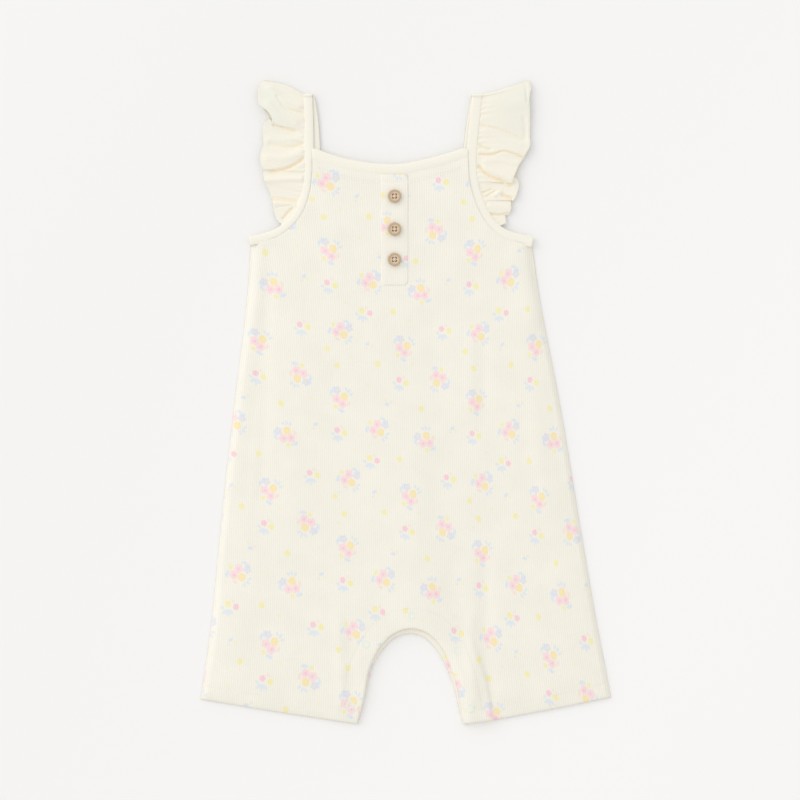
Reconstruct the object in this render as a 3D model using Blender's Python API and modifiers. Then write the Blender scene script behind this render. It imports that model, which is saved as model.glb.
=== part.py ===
"""Sleeveless baby romper in rib knit, laid flat on its back with the front up.

The wearer's neck is towards +Y and the leg hems towards -Y.  The back panel rests on z = 0, the
front panel lies on it, and both are bound at the neck and armholes.  Each armhole binding runs on
as a shoulder strap, folds over at the shoulder and comes back down the other side, and carries a
gathered ruffle.  Sizes are in millimetres and are turned into metres where a mesh is made.
"""

import math
from collections import namedtuple

import bmesh
import bpy
import numpy as np
from mathutils import Vector
from mathutils.bvhtree import BVHTree

OBJECT_NAME = "baby_romper"
MM = 0.001

# Cloth and clearances
CLOTH = 1.2  # rib knit, one layer
RUFFLE_CLOTH = 1.0
FACING_CLOTH = 1.0
PLACKET_CLOTH = 1.0
GAP = 0.3  # between neighbouring pieces
BINDING_THICKNESS = 2.4  # folded twice round the raw edge
NECK_BINDING_WIDTH = 8.4

# How finely lines are drawn and joined
DENSE = 400  # points on a line that is measured or split
SPAN_STEPS = 16  # points a smooth line is given between two of its rows
MERGE = 0.01  # points nearer than this are one

# Heights of the layers
BACK_BINDING_MID = BINDING_THICKNESS / 2
FRONT_BINDING_MID = BINDING_THICKNESS * 1.5 + GAP
STRAP_FOLD_RADIUS = (FRONT_BINDING_MID - BACK_BINDING_MID) / 2
STRAP_FOLD_STEPS = 6
SIDE_REST = CLOTH + GAP  # underside of the front panel at its side seams and hems
FACING_REST = SIDE_REST + FACING_CLOTH + GAP  # and over the crotch facing
CHEST_REST = FRONT_BINDING_MID - CLOTH / 2  # and where it joins the bindings
LOFT_REACH = 26.0  # how far in from a side seam the front panel is fully raised
LOFT_POWER = 3.0
LAYER_SLOPE = 0.10  # how steeply the panel settles away from a thicker edge
LAYER_BLEND = 0.5

Point = namedtuple("Point", "x y")
Fold = namedtuple("Fold", "x0 y0 x1 y1 width height")
Wave = namedtuple("Wave", "seam x y z")
Armhole = namedtuple(
    "Armhole", "side outward width centre_line back_shift ruffle_end ruffle_crown ruffle"
)

# Outline of the front panel, each edge as a smooth line through its points
LEFT_SIDE = [
    Point(-156.2, -225.3),
    Point(-149.0, -176.7),
    Point(-139.5, -81.7),
    Point(-130.0, 1.9),
    Point(-120.8, 77.9),
]
RIGHT_SIDE = [
    Point(155.8, -223.8),
    Point(145.9, -172.9),
    Point(131.5, -89.3),
    Point(116.3, 1.9),
    Point(101.8, 77.9),
]
LEFT_HEM = [Point(-156.2, -225.3), Point(-96.0, -235.3), Point(-36.8, -244.2)]
RIGHT_HEM = [
    Point(43.5, -244.3),
    Point(67.6, -241.0),
    Point(92.7, -236.4),
    Point(122.4, -230.7),
    Point(155.8, -223.8),
]
FRONT_INSEAM = [
    Point(-36.8, -244.2),
    Point(-32.0, -226.1),
    Point(-26.9, -200.6),
    Point(-19.6, -186.1),
    Point(-10.9, -176.7),
    Point(3.6, -171.6),
    Point(15.2, -174.4),
    Point(26.9, -186.1),
    Point(35.6, -206.5),
    Point(43.5, -244.3),
]
# The back's crotch edge hangs a little lower and shows below the front's
BACK_INSEAM = [
    Point(-34.6, -243.4),
    Point(-29.6, -226.0),
    Point(-24.6, -202.5),
    Point(-17.0, -189.0),
    Point(-8.0, -179.8),
    Point(3.0, -176.6),
    Point(12.2, -178.8),
    Point(23.0, -187.6),
    Point(32.8, -206.5),
    Point(42.8, -243.6),
]
CROTCH_LINE = -185.8  # where the legs part from the body
BACK_SIDE_INSET = 0.6
BACK_HEM_INSET = 0.8
FACING_WIDTH = 16.0
FACING_POINTS = 40
PANEL_SPACING = 8.0  # between points on the back panel's outline

# Middle of the neck binding, and how far lower the back neck lies
NECK_LINE = [
    Point(-69.2, 187.9),
    Point(-52.4, 182.1),
    Point(-34.0, 178.4),
    Point(-17.0, 176.7),
    Point(-4.6, 176.7),
    Point(15.1, 180.2),
    Point(32.6, 184.8),
    Point(44.2, 188.6),
]
BACK_NECK_DROP = 3.0
NECK_HALF_REACH = 90.0  # the armholes meet the neck nearer the middle than this
NECK_END_CLEARANCE = 1.0
NECK_BINDING_SECTIONS = 22

# Soft folds and hollows in the front: a straight crease line, its half width and its height
FRONT_FOLDS = [
    Fold(-104, 95, -110, -70, 6.0, -0.7),
    Fold(-76, 60, -86, -85, 18.0, 0.7),
    Fold(2, -40, 4, -172, 28.0, 1.3),
    Fold(35, -130, 44, -180, 9.0, -0.7),
    Fold(49, -165, 51, -234, 5.0, 1.0),
    Fold(60, -118, 62, -236, 6.0, -1.1),
    Fold(76, -100, 82, -225, 10.0, 0.5),
    Fold(-51, -165, -48, -236, 5.0, 0.8),
    Fold(-42, -178, -41, -236, 4.5, -0.5),
    Fold(49, 42, 50, 0, 6.0, 0.6),
    Fold(59, 42, 59, -12, 6.0, -0.5),
    Fold(101, -10, 107, -78, 8.0, 0.6),
    Fold(86, 108, 93, 58, 9.0, 0.8),
    Fold(20, 60, 28, -60, 14.0, -0.5),
    Fold(-60, 150, -52, 95, 9.0, 0.5),
    Fold(32, 152, 40, 100, 9.0, 0.4),
    Fold(-118, -120, -126, -205, 10.0, 0.5),
    Fold(116, -130, 124, -205, 9.0, 0.5),
]

# Columns and rows of the panel's grid
LEG_COLUMNS = 15
ARCH_COLUMNS = 8
SHOULDER_COLUMNS = 5
TORSO_ROWS = 26
LEG_ROWS = 6
CHEST_ROWS = 6
UNDERARM_SHARE = 0.36  # of the armhole edge, up to where the chest begins

# Placket and buttons
PLACKET_LEFT = -19.0
PLACKET_RIGHT = 1.5
PLACKET_TOP = 171.4
PLACKET_BOTTOM = 88.8
PLACKET_CORNER = 4.0
PLACKET_COLUMNS = 4
PLACKET_ROWS = 15
PLACKET_CORNER_ROWS = 4
BUTTONS = {
    "top": Point(-8.7, 156.1),
    "middle": Point(-8.7, 131.2),
    "bottom": Point(-8.8, 108.2),
}
BUTTON_RADIUS = 5.0
BUTTON_PROFILE = [  # radius, height, from the middle of the top to the middle of the underside
    (0.0, 1.5),
    (3.2, 1.6),
    (3.8, 2.2),
    (4.5, 2.1),
    (5.0, 1.4),
    (4.7, 0.5),
    (4.0, 0.0),
    (0.0, 0.0),
]
BUTTON_STEPS = 20
BUTTON_HOLE_RADIUS = 0.65
BUTTON_HOLE_SPACING = 2.3
BUTTON_HOLE_SIDES = 8
BUTTON_HOLE_DEPTH = 8.0  # of the cutter, well past both faces

# Snap fasteners along the crotch and inseams, seen as the thin rings of their caps
SNAPS = {
    "crotch": Point(4.2, -161.4),
    "left_upper": Point(-30.2, -183.4),
    "left_lower": Point(-42.4, -229.4),
    "right_upper": Point(38.9, -187.6),
    "right_lower": Point(48.4, -231.0),
}
SNAP_OUTER_RADIUS = 4.7
SNAP_INNER_RADIUS = 3.0
SNAP_HEIGHT = 0.7
SNAP_BEVEL_SHARE = 0.25  # of the ring's width, on each side
SNAP_STEPS = 16

# Ruffles: for each wave, its place along the seam (0 at the front's lower end, 1 at the shoulder
# fold, 2 at the back's lower end) and the outer edge there
RUFFLE_STEPS = 84
RUFFLE_COLUMNS = 5
RUFFLE_RISE = 0.7  # power of the rise from the seam to the outer edge
RUFFLE_CROWN_REACH = 0.12  # how far along the seam the shoulder fold's crown is felt
SEAM_SPACING = 1.0  # between the points of a ruffle's seam
LEFT_RUFFLE = [
    Wave(0.00, -97.6, 138.4, 3.8),
    Wave(0.06, -98.9, 141.9, 3.9),
    Wave(0.12, -100.0, 146.5, 3.4),
    Wave(0.17, -100.8, 152.0, 4.7),
    Wave(0.22, -102.2, 156.8, 3.0),
    Wave(0.28, -104.8, 163.5, 4.2),
    Wave(0.315, -106.8, 168.2, 6.0),
    Wave(0.35, -107.6, 171.4, 4.2),
    Wave(0.39, -107.8, 175.4, 3.2),
    Wave(0.42, -106.0, 179.2, 4.6),
    Wave(0.435, -107.2, 176.8, 7.0),
    Wave(0.47, -109.8, 180.8, 8.4),
    Wave(0.52, -110.2, 187.5, 7.4),
    Wave(0.58, -107.9, 195.5, 5.2),
    Wave(0.64, -108.1, 203.5, 3.6),
    Wave(0.69, -107.6, 210.6, 3.2),
    Wave(0.715, -103.6, 214.6, 4.6),
    Wave(0.735, -101.2, 210.8, 7.2),
    Wave(0.765, -101.4, 215.6, 8.9),
    Wave(0.80, -104.8, 221.0, 9.2),
    Wave(0.84, -111.0, 226.3, 8.8),
    Wave(0.90, -111.9, 232.8, 7.4),
    Wave(0.96, -110.9, 240.4, 5.2),
    Wave(1.00, -108.1, 244.2, 2.6),
    Wave(1.05, -109.3, 238.0, 1.1),
    Wave(1.15, -109.8, 227.0, 0.8),
    Wave(1.24, -105.2, 217.0, 1.2),
    Wave(1.34, -107.0, 206.0, 0.7),
    Wave(1.46, -106.8, 194.0, 1.2),
    Wave(1.60, -107.6, 178.0, 0.8),
    Wave(1.72, -104.6, 166.0, 1.2),
    Wave(1.88, -99.4, 149.0, 0.8),
    Wave(2.00, -96.4, 139.0, 1.1),
]
RIGHT_RUFFLE = [
    Wave(0.00, 75.6, 136.0, 3.7),
    Wave(0.05, 75.4, 139.4, 3.4),
    Wave(0.09, 74.8, 142.6, 3.1),
    Wave(0.115, 77.4, 142.8, 4.6),
    Wave(0.14, 79.2, 146.2, 5.2),
    Wave(0.18, 79.4, 151.0, 3.4),
    Wave(0.21, 79.0, 155.4, 3.6),
    Wave(0.225, 81.0, 153.4, 5.8),
    Wave(0.25, 83.0, 156.6, 6.4),
    Wave(0.29, 84.6, 161.0, 4.4),
    Wave(0.33, 85.4, 166.6, 3.2),
    Wave(0.352, 82.6, 170.6, 4.4),
    Wave(0.37, 80.4, 166.2, 7.4),
    Wave(0.42, 82.2, 172.5, 8.2),
    Wave(0.48, 85.0, 179.1, 6.4),
    Wave(0.53, 88.2, 184.4, 5.6),
    Wave(0.57, 91.4, 189.8, 8.0),
    Wave(0.62, 94.1, 196.2, 6.4),
    Wave(0.67, 93.6, 201.5, 4.6),
    Wave(0.73, 93.7, 210.9, 6.2),
    Wave(0.82, 93.6, 220.8, 7.6),
    Wave(0.91, 93.3, 232.0, 7.2),
    Wave(0.96, 94.4, 239.0, 5.6),
    Wave(1.00, 92.5, 244.7, 2.6),
    Wave(1.05, 93.2, 238.0, 1.1),
    Wave(1.18, 91.6, 222.0, 0.7),
    Wave(1.32, 92.2, 206.0, 1.2),
    Wave(1.46, 90.0, 190.0, 0.8),
    Wave(1.60, 84.4, 174.0, 1.2),
    Wave(1.76, 82.8, 157.0, 0.8),
    Wave(1.90, 76.0, 143.0, 1.2),
    Wave(2.00, 72.6, 134.4, 1.0),
]

# Armhole bindings, which run on as the straps: the middle of the front's, from the side seam to
# the shoulder, and how far the back's lies from it at most
STRAP_SPACING = 5.5  # between the sections of a binding
BACK_SWING_POWER = 0.7  # below 1, the back's line leaves the front's sooner
SECTION_BEVEL = 0.9  # how far in from a binding's side its top is flat
SECTION_SIDE_SHARE = 0.45  # of its thickness, upright at the side
ARMHOLES = [
    Armhole(
        side="left",
        outward=1,
        width=7.2,
        centre_line=[
            Point(-118.4, 122.3),
            Point(-107.6, 124.7),
            Point(-98.6, 127.9),
            Point(-90.5, 133.2),
            Point(-83.0, 141.2),
            Point(-77.9, 150.9),
            Point(-74.9, 161.5),
            Point(-73.6, 172.5),
            Point(-73.4, 190.0),
            Point(-73.7, 210.0),
            Point(-74.4, 232.0),
        ],
        back_shift=5.0,
        ruffle_end=Point(-92.4, 131.8),
        ruffle_crown=2.2,
        ruffle=LEFT_RUFFLE,
    ),
    Armhole(
        side="right",
        outward=-1,
        width=7.8,
        centre_line=[
            Point(96.2, 121.6),
            Point(88.6, 123.2),
            Point(80.2, 125.4),
            Point(71.1, 129.6),
            Point(64.2, 136.0),
            Point(57.8, 146.3),
            Point(53.6, 156.9),
            Point(50.8, 167.8),
            Point(49.6, 180.0),
            Point(50.1, 193.0),
            Point(51.7, 210.0),
            Point(54.0, 232.0),
        ],
        back_shift=-2.8,
        ruffle_end=Point(69.0, 131.4),
        ruffle_crown=-1.2,
        ruffle=RIGHT_RUFFLE,
    ),
]

# Seating a round piece on the cloth under it
ABOVE_ALL = 50.0  # a height over every piece
SEAT_ANGLES = 24
SEAT_REACHES = (0.6, 1.0)  # shares of the piece's radius

# Surface of each material: colour, roughness
PRINTED_KNIT = ((0.90, 0.86, 0.76, 1.0), 0.9)
CREAM_KNIT = ((0.91, 0.86, 0.74, 1.0), 0.9)
TAN_WOOD = ((0.30, 0.19, 0.10, 1.0), 0.5)
IVORY_CAP = ((0.86, 0.83, 0.76, 1.0), 0.4)


# Lines


def resample(path, count):
    """The same line as count points at even distances."""
    path = np.asarray(path, float)
    steps = np.linalg.norm(np.diff(path, axis=0), axis=1)
    reached = np.concatenate([[0.0], np.cumsum(steps)])
    wanted = np.linspace(0.0, reached[-1], count)
    return np.stack([np.interp(wanted, reached, column) for column in path.T], axis=1)


def smooth_path(rows, count):
    """A smooth line through the rows, as count points at even distances."""
    rows = np.asarray(rows, float)
    knots = np.concatenate([[0.0], np.cumsum(np.linalg.norm(np.diff(rows, axis=0), axis=1))])
    tangents = np.gradient(rows, knots, axis=0)
    parts = []
    for i, length in enumerate(np.diff(knots)):
        t = np.linspace(0.0, 1.0, SPAN_STEPS, endpoint=False)[:, None]
        parts.append(
            rows[i] * (2 * t**3 - 3 * t**2 + 1)
            + tangents[i] * length * (t**3 - 2 * t**2 + t)
            + rows[i + 1] * (3 * t**2 - 2 * t**3)
            + tangents[i + 1] * length * (t**3 - t**2)
        )
    parts.append(rows[-1:])
    return resample(np.concatenate(parts), count)


def left_normals(path):
    """The unit vector to the left of the line's run at each point."""
    run = np.gradient(path, axis=0)
    run /= np.linalg.norm(run, axis=1)[:, None]
    return np.stack([-run[:, 1], run[:, 0]], axis=1)


def offset_path(path, distance):
    """The line moved to its left by distance."""
    return path + left_normals(path) * distance


def split_at(path, index):
    return path[: index + 1], path[index:]


def first_index(mask):
    return int(np.argmax(mask))


def join_paths(*paths):
    """One line through the paths, with each shared end kept once."""
    pieces = [paths[0]] + [path[1:] for path in paths[1:]]
    return np.concatenate(pieces)


def point_along(path, share):
    """The point at this share of the line's length."""
    steps = np.linalg.norm(np.diff(path, axis=0), axis=1)
    reached = np.concatenate([[0.0], np.cumsum(steps)])
    return np.array([np.interp(share * reached[-1], reached, column) for column in path.T])


def distance_to(path, x, y):
    return float(np.min(np.hypot(path[:, 0] - x, path[:, 1] - y)))


# Panel outlines


class PanelOutline:
    """The edges of the front or back panel, each running left to right or bottom to top."""

    def __init__(self, inseam, armhole_lines, neck_drop, side_inset, hem_inset):
        half_neck = NECK_BINDING_WIDTH / 2 + GAP
        neck = smooth_path(NECK_LINE, DENSE)
        neck[:, 1] -= half_neck + neck_drop
        armhole = {}
        for row in ARMHOLES:
            inward = -row.outward * (row.width / 2 + GAP)
            line = offset_path(armhole_lines[row.side], inward)
            neck_height = np.interp(line[:, 0], neck[:, 0], neck[:, 1])
            beside_neck = (line[:, 1] > neck_height) & (np.abs(line[:, 0]) < NECK_HALF_REACH)
            armhole[row.side] = line[: first_index(beside_neck)]
        self.armhole_left = armhole["left"]
        self.armhole_right = armhole["right"]
        left_end = self.armhole_left[-1]
        right_end = self.armhole_right[-1]
        past_left = neck[:, 0] > left_end[0] + NECK_END_CLEARANCE
        before_right = neck[:, 0] < right_end[0] - NECK_END_CLEARANCE
        self.neck = np.concatenate([[left_end], neck[past_left & before_right], [right_end]])
        inset = np.array([side_inset, 0.0])
        lift = np.array([0.0, hem_inset])
        left_corner = np.array(LEFT_HEM[0]) + inset + lift
        right_corner = np.array(RIGHT_HEM[-1]) - inset + lift
        left_rows = [left_corner] + [np.array(p) + inset for p in LEFT_SIDE[1:]]
        right_rows = [right_corner] + [np.array(p) - inset for p in RIGHT_SIDE[1:]]
        self.left_side = smooth_path(left_rows + [self.armhole_left[0]], DENSE)
        self.right_side = smooth_path(right_rows + [self.armhole_right[0]], DENSE)
        self.inseam = smooth_path(inseam, DENSE)
        left_hem = [left_corner] + [np.array(p) + lift for p in LEFT_HEM[1:-1]] + [inseam[0]]
        right_hem = [inseam[-1]] + [np.array(p) + lift for p in RIGHT_HEM[1:-1]] + [right_corner]
        self.left_hem = smooth_path(left_hem, DENSE)
        self.right_hem = smooth_path(right_hem, DENSE)

    def ring(self, spacing):
        """The whole outline, counter-clockwise, with points about this far apart."""
        edges = [
            self.left_hem,
            self.inseam,
            self.right_hem,
            self.right_side,
            self.armhole_right,
            self.neck[::-1],
            self.armhole_left[::-1],
            self.left_side[::-1],
        ]
        pieces = []
        for edge in edges:
            length = np.linalg.norm(np.diff(edge, axis=0), axis=1).sum()
            pieces.append(resample(edge, max(3, int(length / spacing)))[:-1])
        return np.concatenate(pieces)


# Meshes and objects


def grid_block(bm, bottom, top, left, right):
    """Adds a grid filled between four edges, which run left to right and bottom to top."""
    columns = len(bottom) - 1
    rows = len(left) - 1
    made = bmesh.ops.create_grid(bm, x_segments=columns, y_segments=rows, size=0.5)
    for vertex in made["verts"]:
        i = round((vertex.co.x + 0.5) * columns)
        j = round((vertex.co.y + 0.5) * rows)
        u = i / columns
        v = j / rows
        place = (
            (1 - v) * bottom[i]
            + v * top[i]
            + (1 - u) * left[j]
            + u * right[j]
            - (1 - u) * (1 - v) * bottom[0]
            - u * (1 - v) * bottom[-1]
            - (1 - u) * v * top[0]
            - u * v * top[-1]
        )
        vertex.co = Vector((place[0], place[1], 0.0)) * MM


def mapped_grid(columns, rows, place):
    """A grid whose corner (i, j) lies at place(i, j), in millimetres."""
    bm = bmesh.new()
    made = bmesh.ops.create_grid(bm, x_segments=columns, y_segments=rows, size=0.5)
    for vertex in made["verts"]:
        i = round((vertex.co.x + 0.5) * columns)
        j = round((vertex.co.y + 0.5) * rows)
        vertex.co = Vector(place(i, j)) * MM
    return bm


def material(name, surface):
    made = bpy.data.materials.get(name)
    if made is None:
        colour, roughness = surface
        made = bpy.data.materials.new(name)
        made.use_nodes = True
        shader = made.node_tree.nodes["Principled BSDF"]
        shader.inputs["Base Color"].default_value = colour
        shader.inputs["Roughness"].default_value = roughness
        shader.inputs["Metallic"].default_value = 0.0
    return made


def add_object(name, data, surface, collection, origin):
    """Puts the data in the collection as an object under the origin empty."""
    made = bpy.data.objects.new(name, data)
    data.materials.append(material(name, surface))
    collection.objects.link(made)
    made.parent = origin
    return made


def object_from(bm, name, surface, collection, origin):
    mesh = bpy.data.meshes.new(name)
    bm.to_mesh(mesh)
    bm.free()
    mesh.shade_smooth()
    return add_object(name, mesh, surface, collection, origin)


def thicken(made, thickness, offset, even=True):
    """Solidify, with the wall above the surface at offset 1 and on both sides of it at 0."""
    solidify = made.modifiers.new("cloth", "SOLIDIFY")
    solidify.thickness = thickness * MM
    solidify.offset = offset
    solidify.use_even_offset = even
    return made


def flat_piece(name, ring, low, high, surface, collection, origin):
    """A flat piece of cloth with this outline, from one height to the other."""
    curve = bpy.data.curves.new(name, "CURVE")
    curve.dimensions = "2D"
    curve.fill_mode = "BOTH"
    curve.extrude = (high - low) / 2 * MM
    spline = curve.splines.new("POLY")
    spline.points.add(len(ring) - 1)
    for point, place in zip(spline.points, ring):
        point.co = (place[0] * MM, place[1] * MM, 0.0, 1.0)
    spline.use_cyclic_u = True
    made = add_object(name, curve, surface, collection, origin)
    made.location.z = (high + low) / 2 * MM
    return made


def surface_tree(made):
    """The evaluated surface of an object, to measure heights on."""
    return BVHTree.FromObject(made, bpy.context.evaluated_depsgraph_get())


def top_of(tree, x, y):
    """(height in millimetres, normal) of the highest surface over this point."""
    place, normal, _, _ = tree.ray_cast(Vector((x, y, ABOVE_ALL)) * MM, Vector((0, 0, -1)))
    if place is None:
        raise ValueError(f"nothing lies under ({x:.1f}, {y:.1f})")
    return place.z / MM, normal


# Front panel


def smooth_max(a, b):
    return 0.5 * (a + b + math.sqrt((a - b) ** 2 + LAYER_BLEND**2))


def fold_height(x, y):
    """What the folds add to the front panel here."""
    total = 0.0
    for fold in FRONT_FOLDS:
        run_x = fold.x1 - fold.x0
        run_y = fold.y1 - fold.y0
        share = ((x - fold.x0) * run_x + (y - fold.y0) * run_y) / (run_x**2 + run_y**2)
        share = min(1.0, max(0.0, share))
        away = math.hypot(x - fold.x0 - share * run_x, y - fold.y0 - share * run_y)
        total += fold.height * math.exp(-((away / fold.width) ** 2))
    return total


def front_underside(outline, x, y):
    """Height of the front panel's underside: low at its sides and hems, up over the layers."""
    sides = (outline.left_side, outline.right_side, outline.left_hem, outline.right_hem)
    inward = min(distance_to(edge, x, y) for edge in sides)
    raised = 1 - (1 - min(1.0, inward / LOFT_REACH)) ** LOFT_POWER
    height = SIDE_REST + (CHEST_REST - SIDE_REST) * raised
    armholes = (outline.armhole_left, outline.armhole_right)
    from_armhole = min(distance_to(edge, x, y) for edge in armholes)
    from_inseam = max(0.0, distance_to(outline.inseam, x, y) - FACING_WIDTH)
    height += fold_height(x, y) * raised
    height = smooth_max(height, CHEST_REST - LAYER_SLOPE * from_armhole)
    height = smooth_max(height, FACING_REST - LAYER_SLOPE * from_inseam)
    return max(height, SIDE_REST)


def front_panel(outline, collection, origin):
    """Body and legs in one: four grids that share their edges, raised and thickened."""
    low_left = outline.left_side[:, 1] > CROTCH_LINE
    low_right = outline.right_side[:, 1] > CROTCH_LINE
    left_leg_side, left_side = split_at(outline.left_side, first_index(low_left))
    right_leg_side, right_side = split_at(outline.right_side, first_index(low_right))
    above = outline.inseam[:, 1] > CROTCH_LINE
    left_inseam, rest = split_at(outline.inseam, first_index(above))
    arch, right_inseam = split_at(rest, first_index(rest[2:, 1] < CROTCH_LINE) + 2)
    arch = resample(arch, ARCH_COLUMNS + 1)
    left_cut = resample([left_side[0], arch[0]], LEG_COLUMNS + 1)
    right_cut = resample([arch[-1], right_side[0]], LEG_COLUMNS + 1)
    chest_from = int(UNDERARM_SHARE * len(outline.armhole_left))
    left_under, left_armhole = split_at(outline.armhole_left, chest_from)
    chest_from = int(UNDERARM_SHARE * len(outline.armhole_right))
    right_under, right_armhole = split_at(outline.armhole_right, chest_from)
    chest_columns = 2 * LEG_COLUMNS + ARCH_COLUMNS - 2 * SHOULDER_COLUMNS
    chest_line = resample([left_armhole[0], right_armhole[0]], chest_columns + 1)
    torso_top = join_paths(
        resample(left_under, SHOULDER_COLUMNS + 1),
        chest_line,
        resample(right_under[::-1], SHOULDER_COLUMNS + 1),
    )
    bm = bmesh.new()
    grid_block(
        bm,
        join_paths(left_cut, arch, right_cut),
        torso_top,
        resample(left_side, TORSO_ROWS + 1),
        resample(right_side, TORSO_ROWS + 1),
    )
    grid_block(
        bm,
        chest_line,
        resample(outline.neck, chest_columns + 1),
        resample(left_armhole, CHEST_ROWS + 1),
        resample(right_armhole, CHEST_ROWS + 1),
    )
    grid_block(
        bm,
        resample(outline.left_hem, LEG_COLUMNS + 1),
        left_cut,
        resample(left_leg_side, LEG_ROWS + 1),
        resample(left_inseam, LEG_ROWS + 1),
    )
    grid_block(
        bm,
        resample(outline.right_hem, LEG_COLUMNS + 1),
        right_cut,
        resample(right_inseam[::-1], LEG_ROWS + 1),
        resample(right_leg_side, LEG_ROWS + 1),
    )
    bmesh.ops.remove_doubles(bm, verts=bm.verts, dist=MERGE * MM)
    for vertex in bm.verts:
        vertex.co.z = front_underside(outline, vertex.co.x / MM, vertex.co.y / MM) * MM
    made = object_from(bm, "front_panel", PRINTED_KNIT, collection, origin)
    return thicken(made, CLOTH, 1)


# Bindings and straps


def back_line(row, front_line):
    """The back binding's middle, which swings away from the front's between its two ends."""
    share = np.linspace(0.0, 1.0, len(front_line))
    swing = np.sin(math.pi * share) ** BACK_SWING_POWER
    return front_line + np.stack([row.back_shift * swing, np.zeros(len(swing))], axis=1)


def strap_route(row, front_line, spacing):
    """(points, outward directions) up the front, over the shoulder and down the back."""
    length = np.linalg.norm(np.diff(front_line, axis=0), axis=1).sum()
    count = int(length / spacing)
    front = resample(front_line, count)
    back = resample(back_line(row, front_line), count)
    outward_front = left_normals(front) * row.outward
    outward_back = left_normals(back) * row.outward
    outward_front[-1] = (-row.outward, 0.0)
    outward_back[-1] = (-row.outward, 0.0)
    shoulder = front[-1]
    middle = (FRONT_BINDING_MID + BACK_BINDING_MID) / 2
    points = [(x, y, FRONT_BINDING_MID) for x, y in front]
    for step in range(1, STRAP_FOLD_STEPS):
        angle = math.pi * (0.5 - step / STRAP_FOLD_STEPS)
        reach = STRAP_FOLD_RADIUS * math.cos(angle)
        rise = STRAP_FOLD_RADIUS * math.sin(angle)
        points.append((shoulder[0], shoulder[1] + reach, middle + rise))
    points += [(x, y, BACK_BINDING_MID) for x, y in back[::-1]]
    folded = np.tile(outward_front[-1], (STRAP_FOLD_STEPS - 1, 1))
    outward = np.concatenate([outward_front, folded, outward_back[::-1]])
    return np.array(points), outward


def section_of(width, thickness):
    """A flat strip's cross-section with rounded sides, as (across, up) pairs."""
    half = width / 2
    high = thickness / 2
    shoulder = half - SECTION_BEVEL
    side = high * SECTION_SIDE_SHARE
    right = [(half, -side), (half, side), (shoulder, high)]
    left = [(-shoulder, high), (-half, side), (-half, -side)]
    return right + left + [(-shoulder, -high), (shoulder, -high)]


def swept_strip(name, points, across, section, surface, collection, origin):
    """A section carried along the points, with its width along each across direction."""
    run = np.gradient(points, axis=0)
    sides = np.concatenate([across, np.zeros((len(across), 1))], axis=1)
    up = np.cross(run, sides)
    up /= np.linalg.norm(up, axis=1)[:, None]
    ring = section + section[:1]

    def place(i, j):
        wide, high = ring[i]
        return points[j] + sides[j] * wide + up[j] * high

    bm = mapped_grid(len(section), len(points) - 1, place)
    bmesh.ops.remove_doubles(bm, verts=bm.verts, dist=MERGE * MM)
    open_edges = [edge for edge in bm.edges if edge.is_boundary]
    bmesh.ops.holes_fill(bm, edges=open_edges, sides=len(section))
    bmesh.ops.recalc_face_normals(bm, faces=bm.faces)
    return object_from(bm, name, surface, collection, origin)


def armhole_binding(row, front_line, collection, origin):
    points, outward = strap_route(row, front_line, STRAP_SPACING)
    section = section_of(row.width, BINDING_THICKNESS)
    name = f"armhole_binding_{row.side}"
    return swept_strip(name, points, outward, section, CREAM_KNIT, collection, origin)


def neck_binding(name, edge, middle, collection, origin):
    """A binding along the panel's neck edge, with its ends cut upright beside the straps."""
    inner = resample(edge, NECK_BINDING_SECTIONS)
    slope = np.gradient(inner[:, 1]) / np.gradient(inner[:, 0])
    widths = np.sqrt(1 + slope**2)
    centre = inner + np.stack([np.zeros(len(inner)), GAP + NECK_BINDING_WIDTH / 2 * widths], axis=1)
    centre[0, 0] += GAP
    centre[-1, 0] -= GAP
    points = np.concatenate([centre, np.full((len(centre), 1), middle)], axis=1)
    across = np.stack([np.zeros(len(widths)), widths], axis=1)
    section = section_of(NECK_BINDING_WIDTH, BINDING_THICKNESS)
    return swept_strip(name, points, across, section, CREAM_KNIT, collection, origin)


# Ruffles


def ruffle(row, front_line, collection, origin):
    """A gathered strip from its seam along the strap out to a waved edge, folded at the shoulder."""
    route, outward = strap_route(row, front_line, SEAM_SPACING)
    seam = route.copy()
    seam[:, :2] += outward * (row.width / 2 + GAP)
    from_end = np.hypot(route[:, 0] - row.ruffle_end.x, route[:, 1] - row.ruffle_end.y)
    half = len(route) // 2
    first = int(np.argmin(from_end[:half]))
    last = half + int(np.argmin(from_end[half:]))
    front_seam = seam[first : half + 1]
    back_seam = seam[half : last + 1]
    edge = smooth_path(row.ruffle, RUFFLE_STEPS + 1)

    def place(i, j):
        along, x, y, z = edge[j]
        if along <= 1:
            root = point_along(front_seam, along)
        else:
            root = point_along(back_seam, along - 1)
        across = i / RUFFLE_COLUMNS
        spot = root + (np.array([x, y, z]) - root) * across
        from_fold = (along - 1) / RUFFLE_CROWN_REACH
        spot[1] += row.ruffle_crown * math.sin(math.pi * across) * math.exp(-(from_fold**2))
        spot[2] = root[2] + (z - root[2]) * across**RUFFLE_RISE
        return spot

    bm = mapped_grid(RUFFLE_COLUMNS, RUFFLE_STEPS, place)
    bmesh.ops.recalc_face_normals(bm, faces=bm.faces)
    made = object_from(bm, f"ruffle_{row.side}", CREAM_KNIT, collection, origin)
    return thicken(made, RUFFLE_CLOTH, 0, even=False)


# Crotch facing, placket, buttons and snaps


def crotch_facing(outline, collection, origin):
    """A strip on the inside of the back panel, along its crotch and inseam edge."""
    edge = resample(outline.inseam, FACING_POINTS)
    inner = offset_path(edge, FACING_WIDTH)
    ring = np.concatenate([edge, inner[::-1]])
    low = CLOTH + GAP
    high = low + FACING_CLOTH
    return flat_piece(
        "back_crotch_facing", ring, low, high, PRINTED_KNIT, collection, origin
    )


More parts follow.
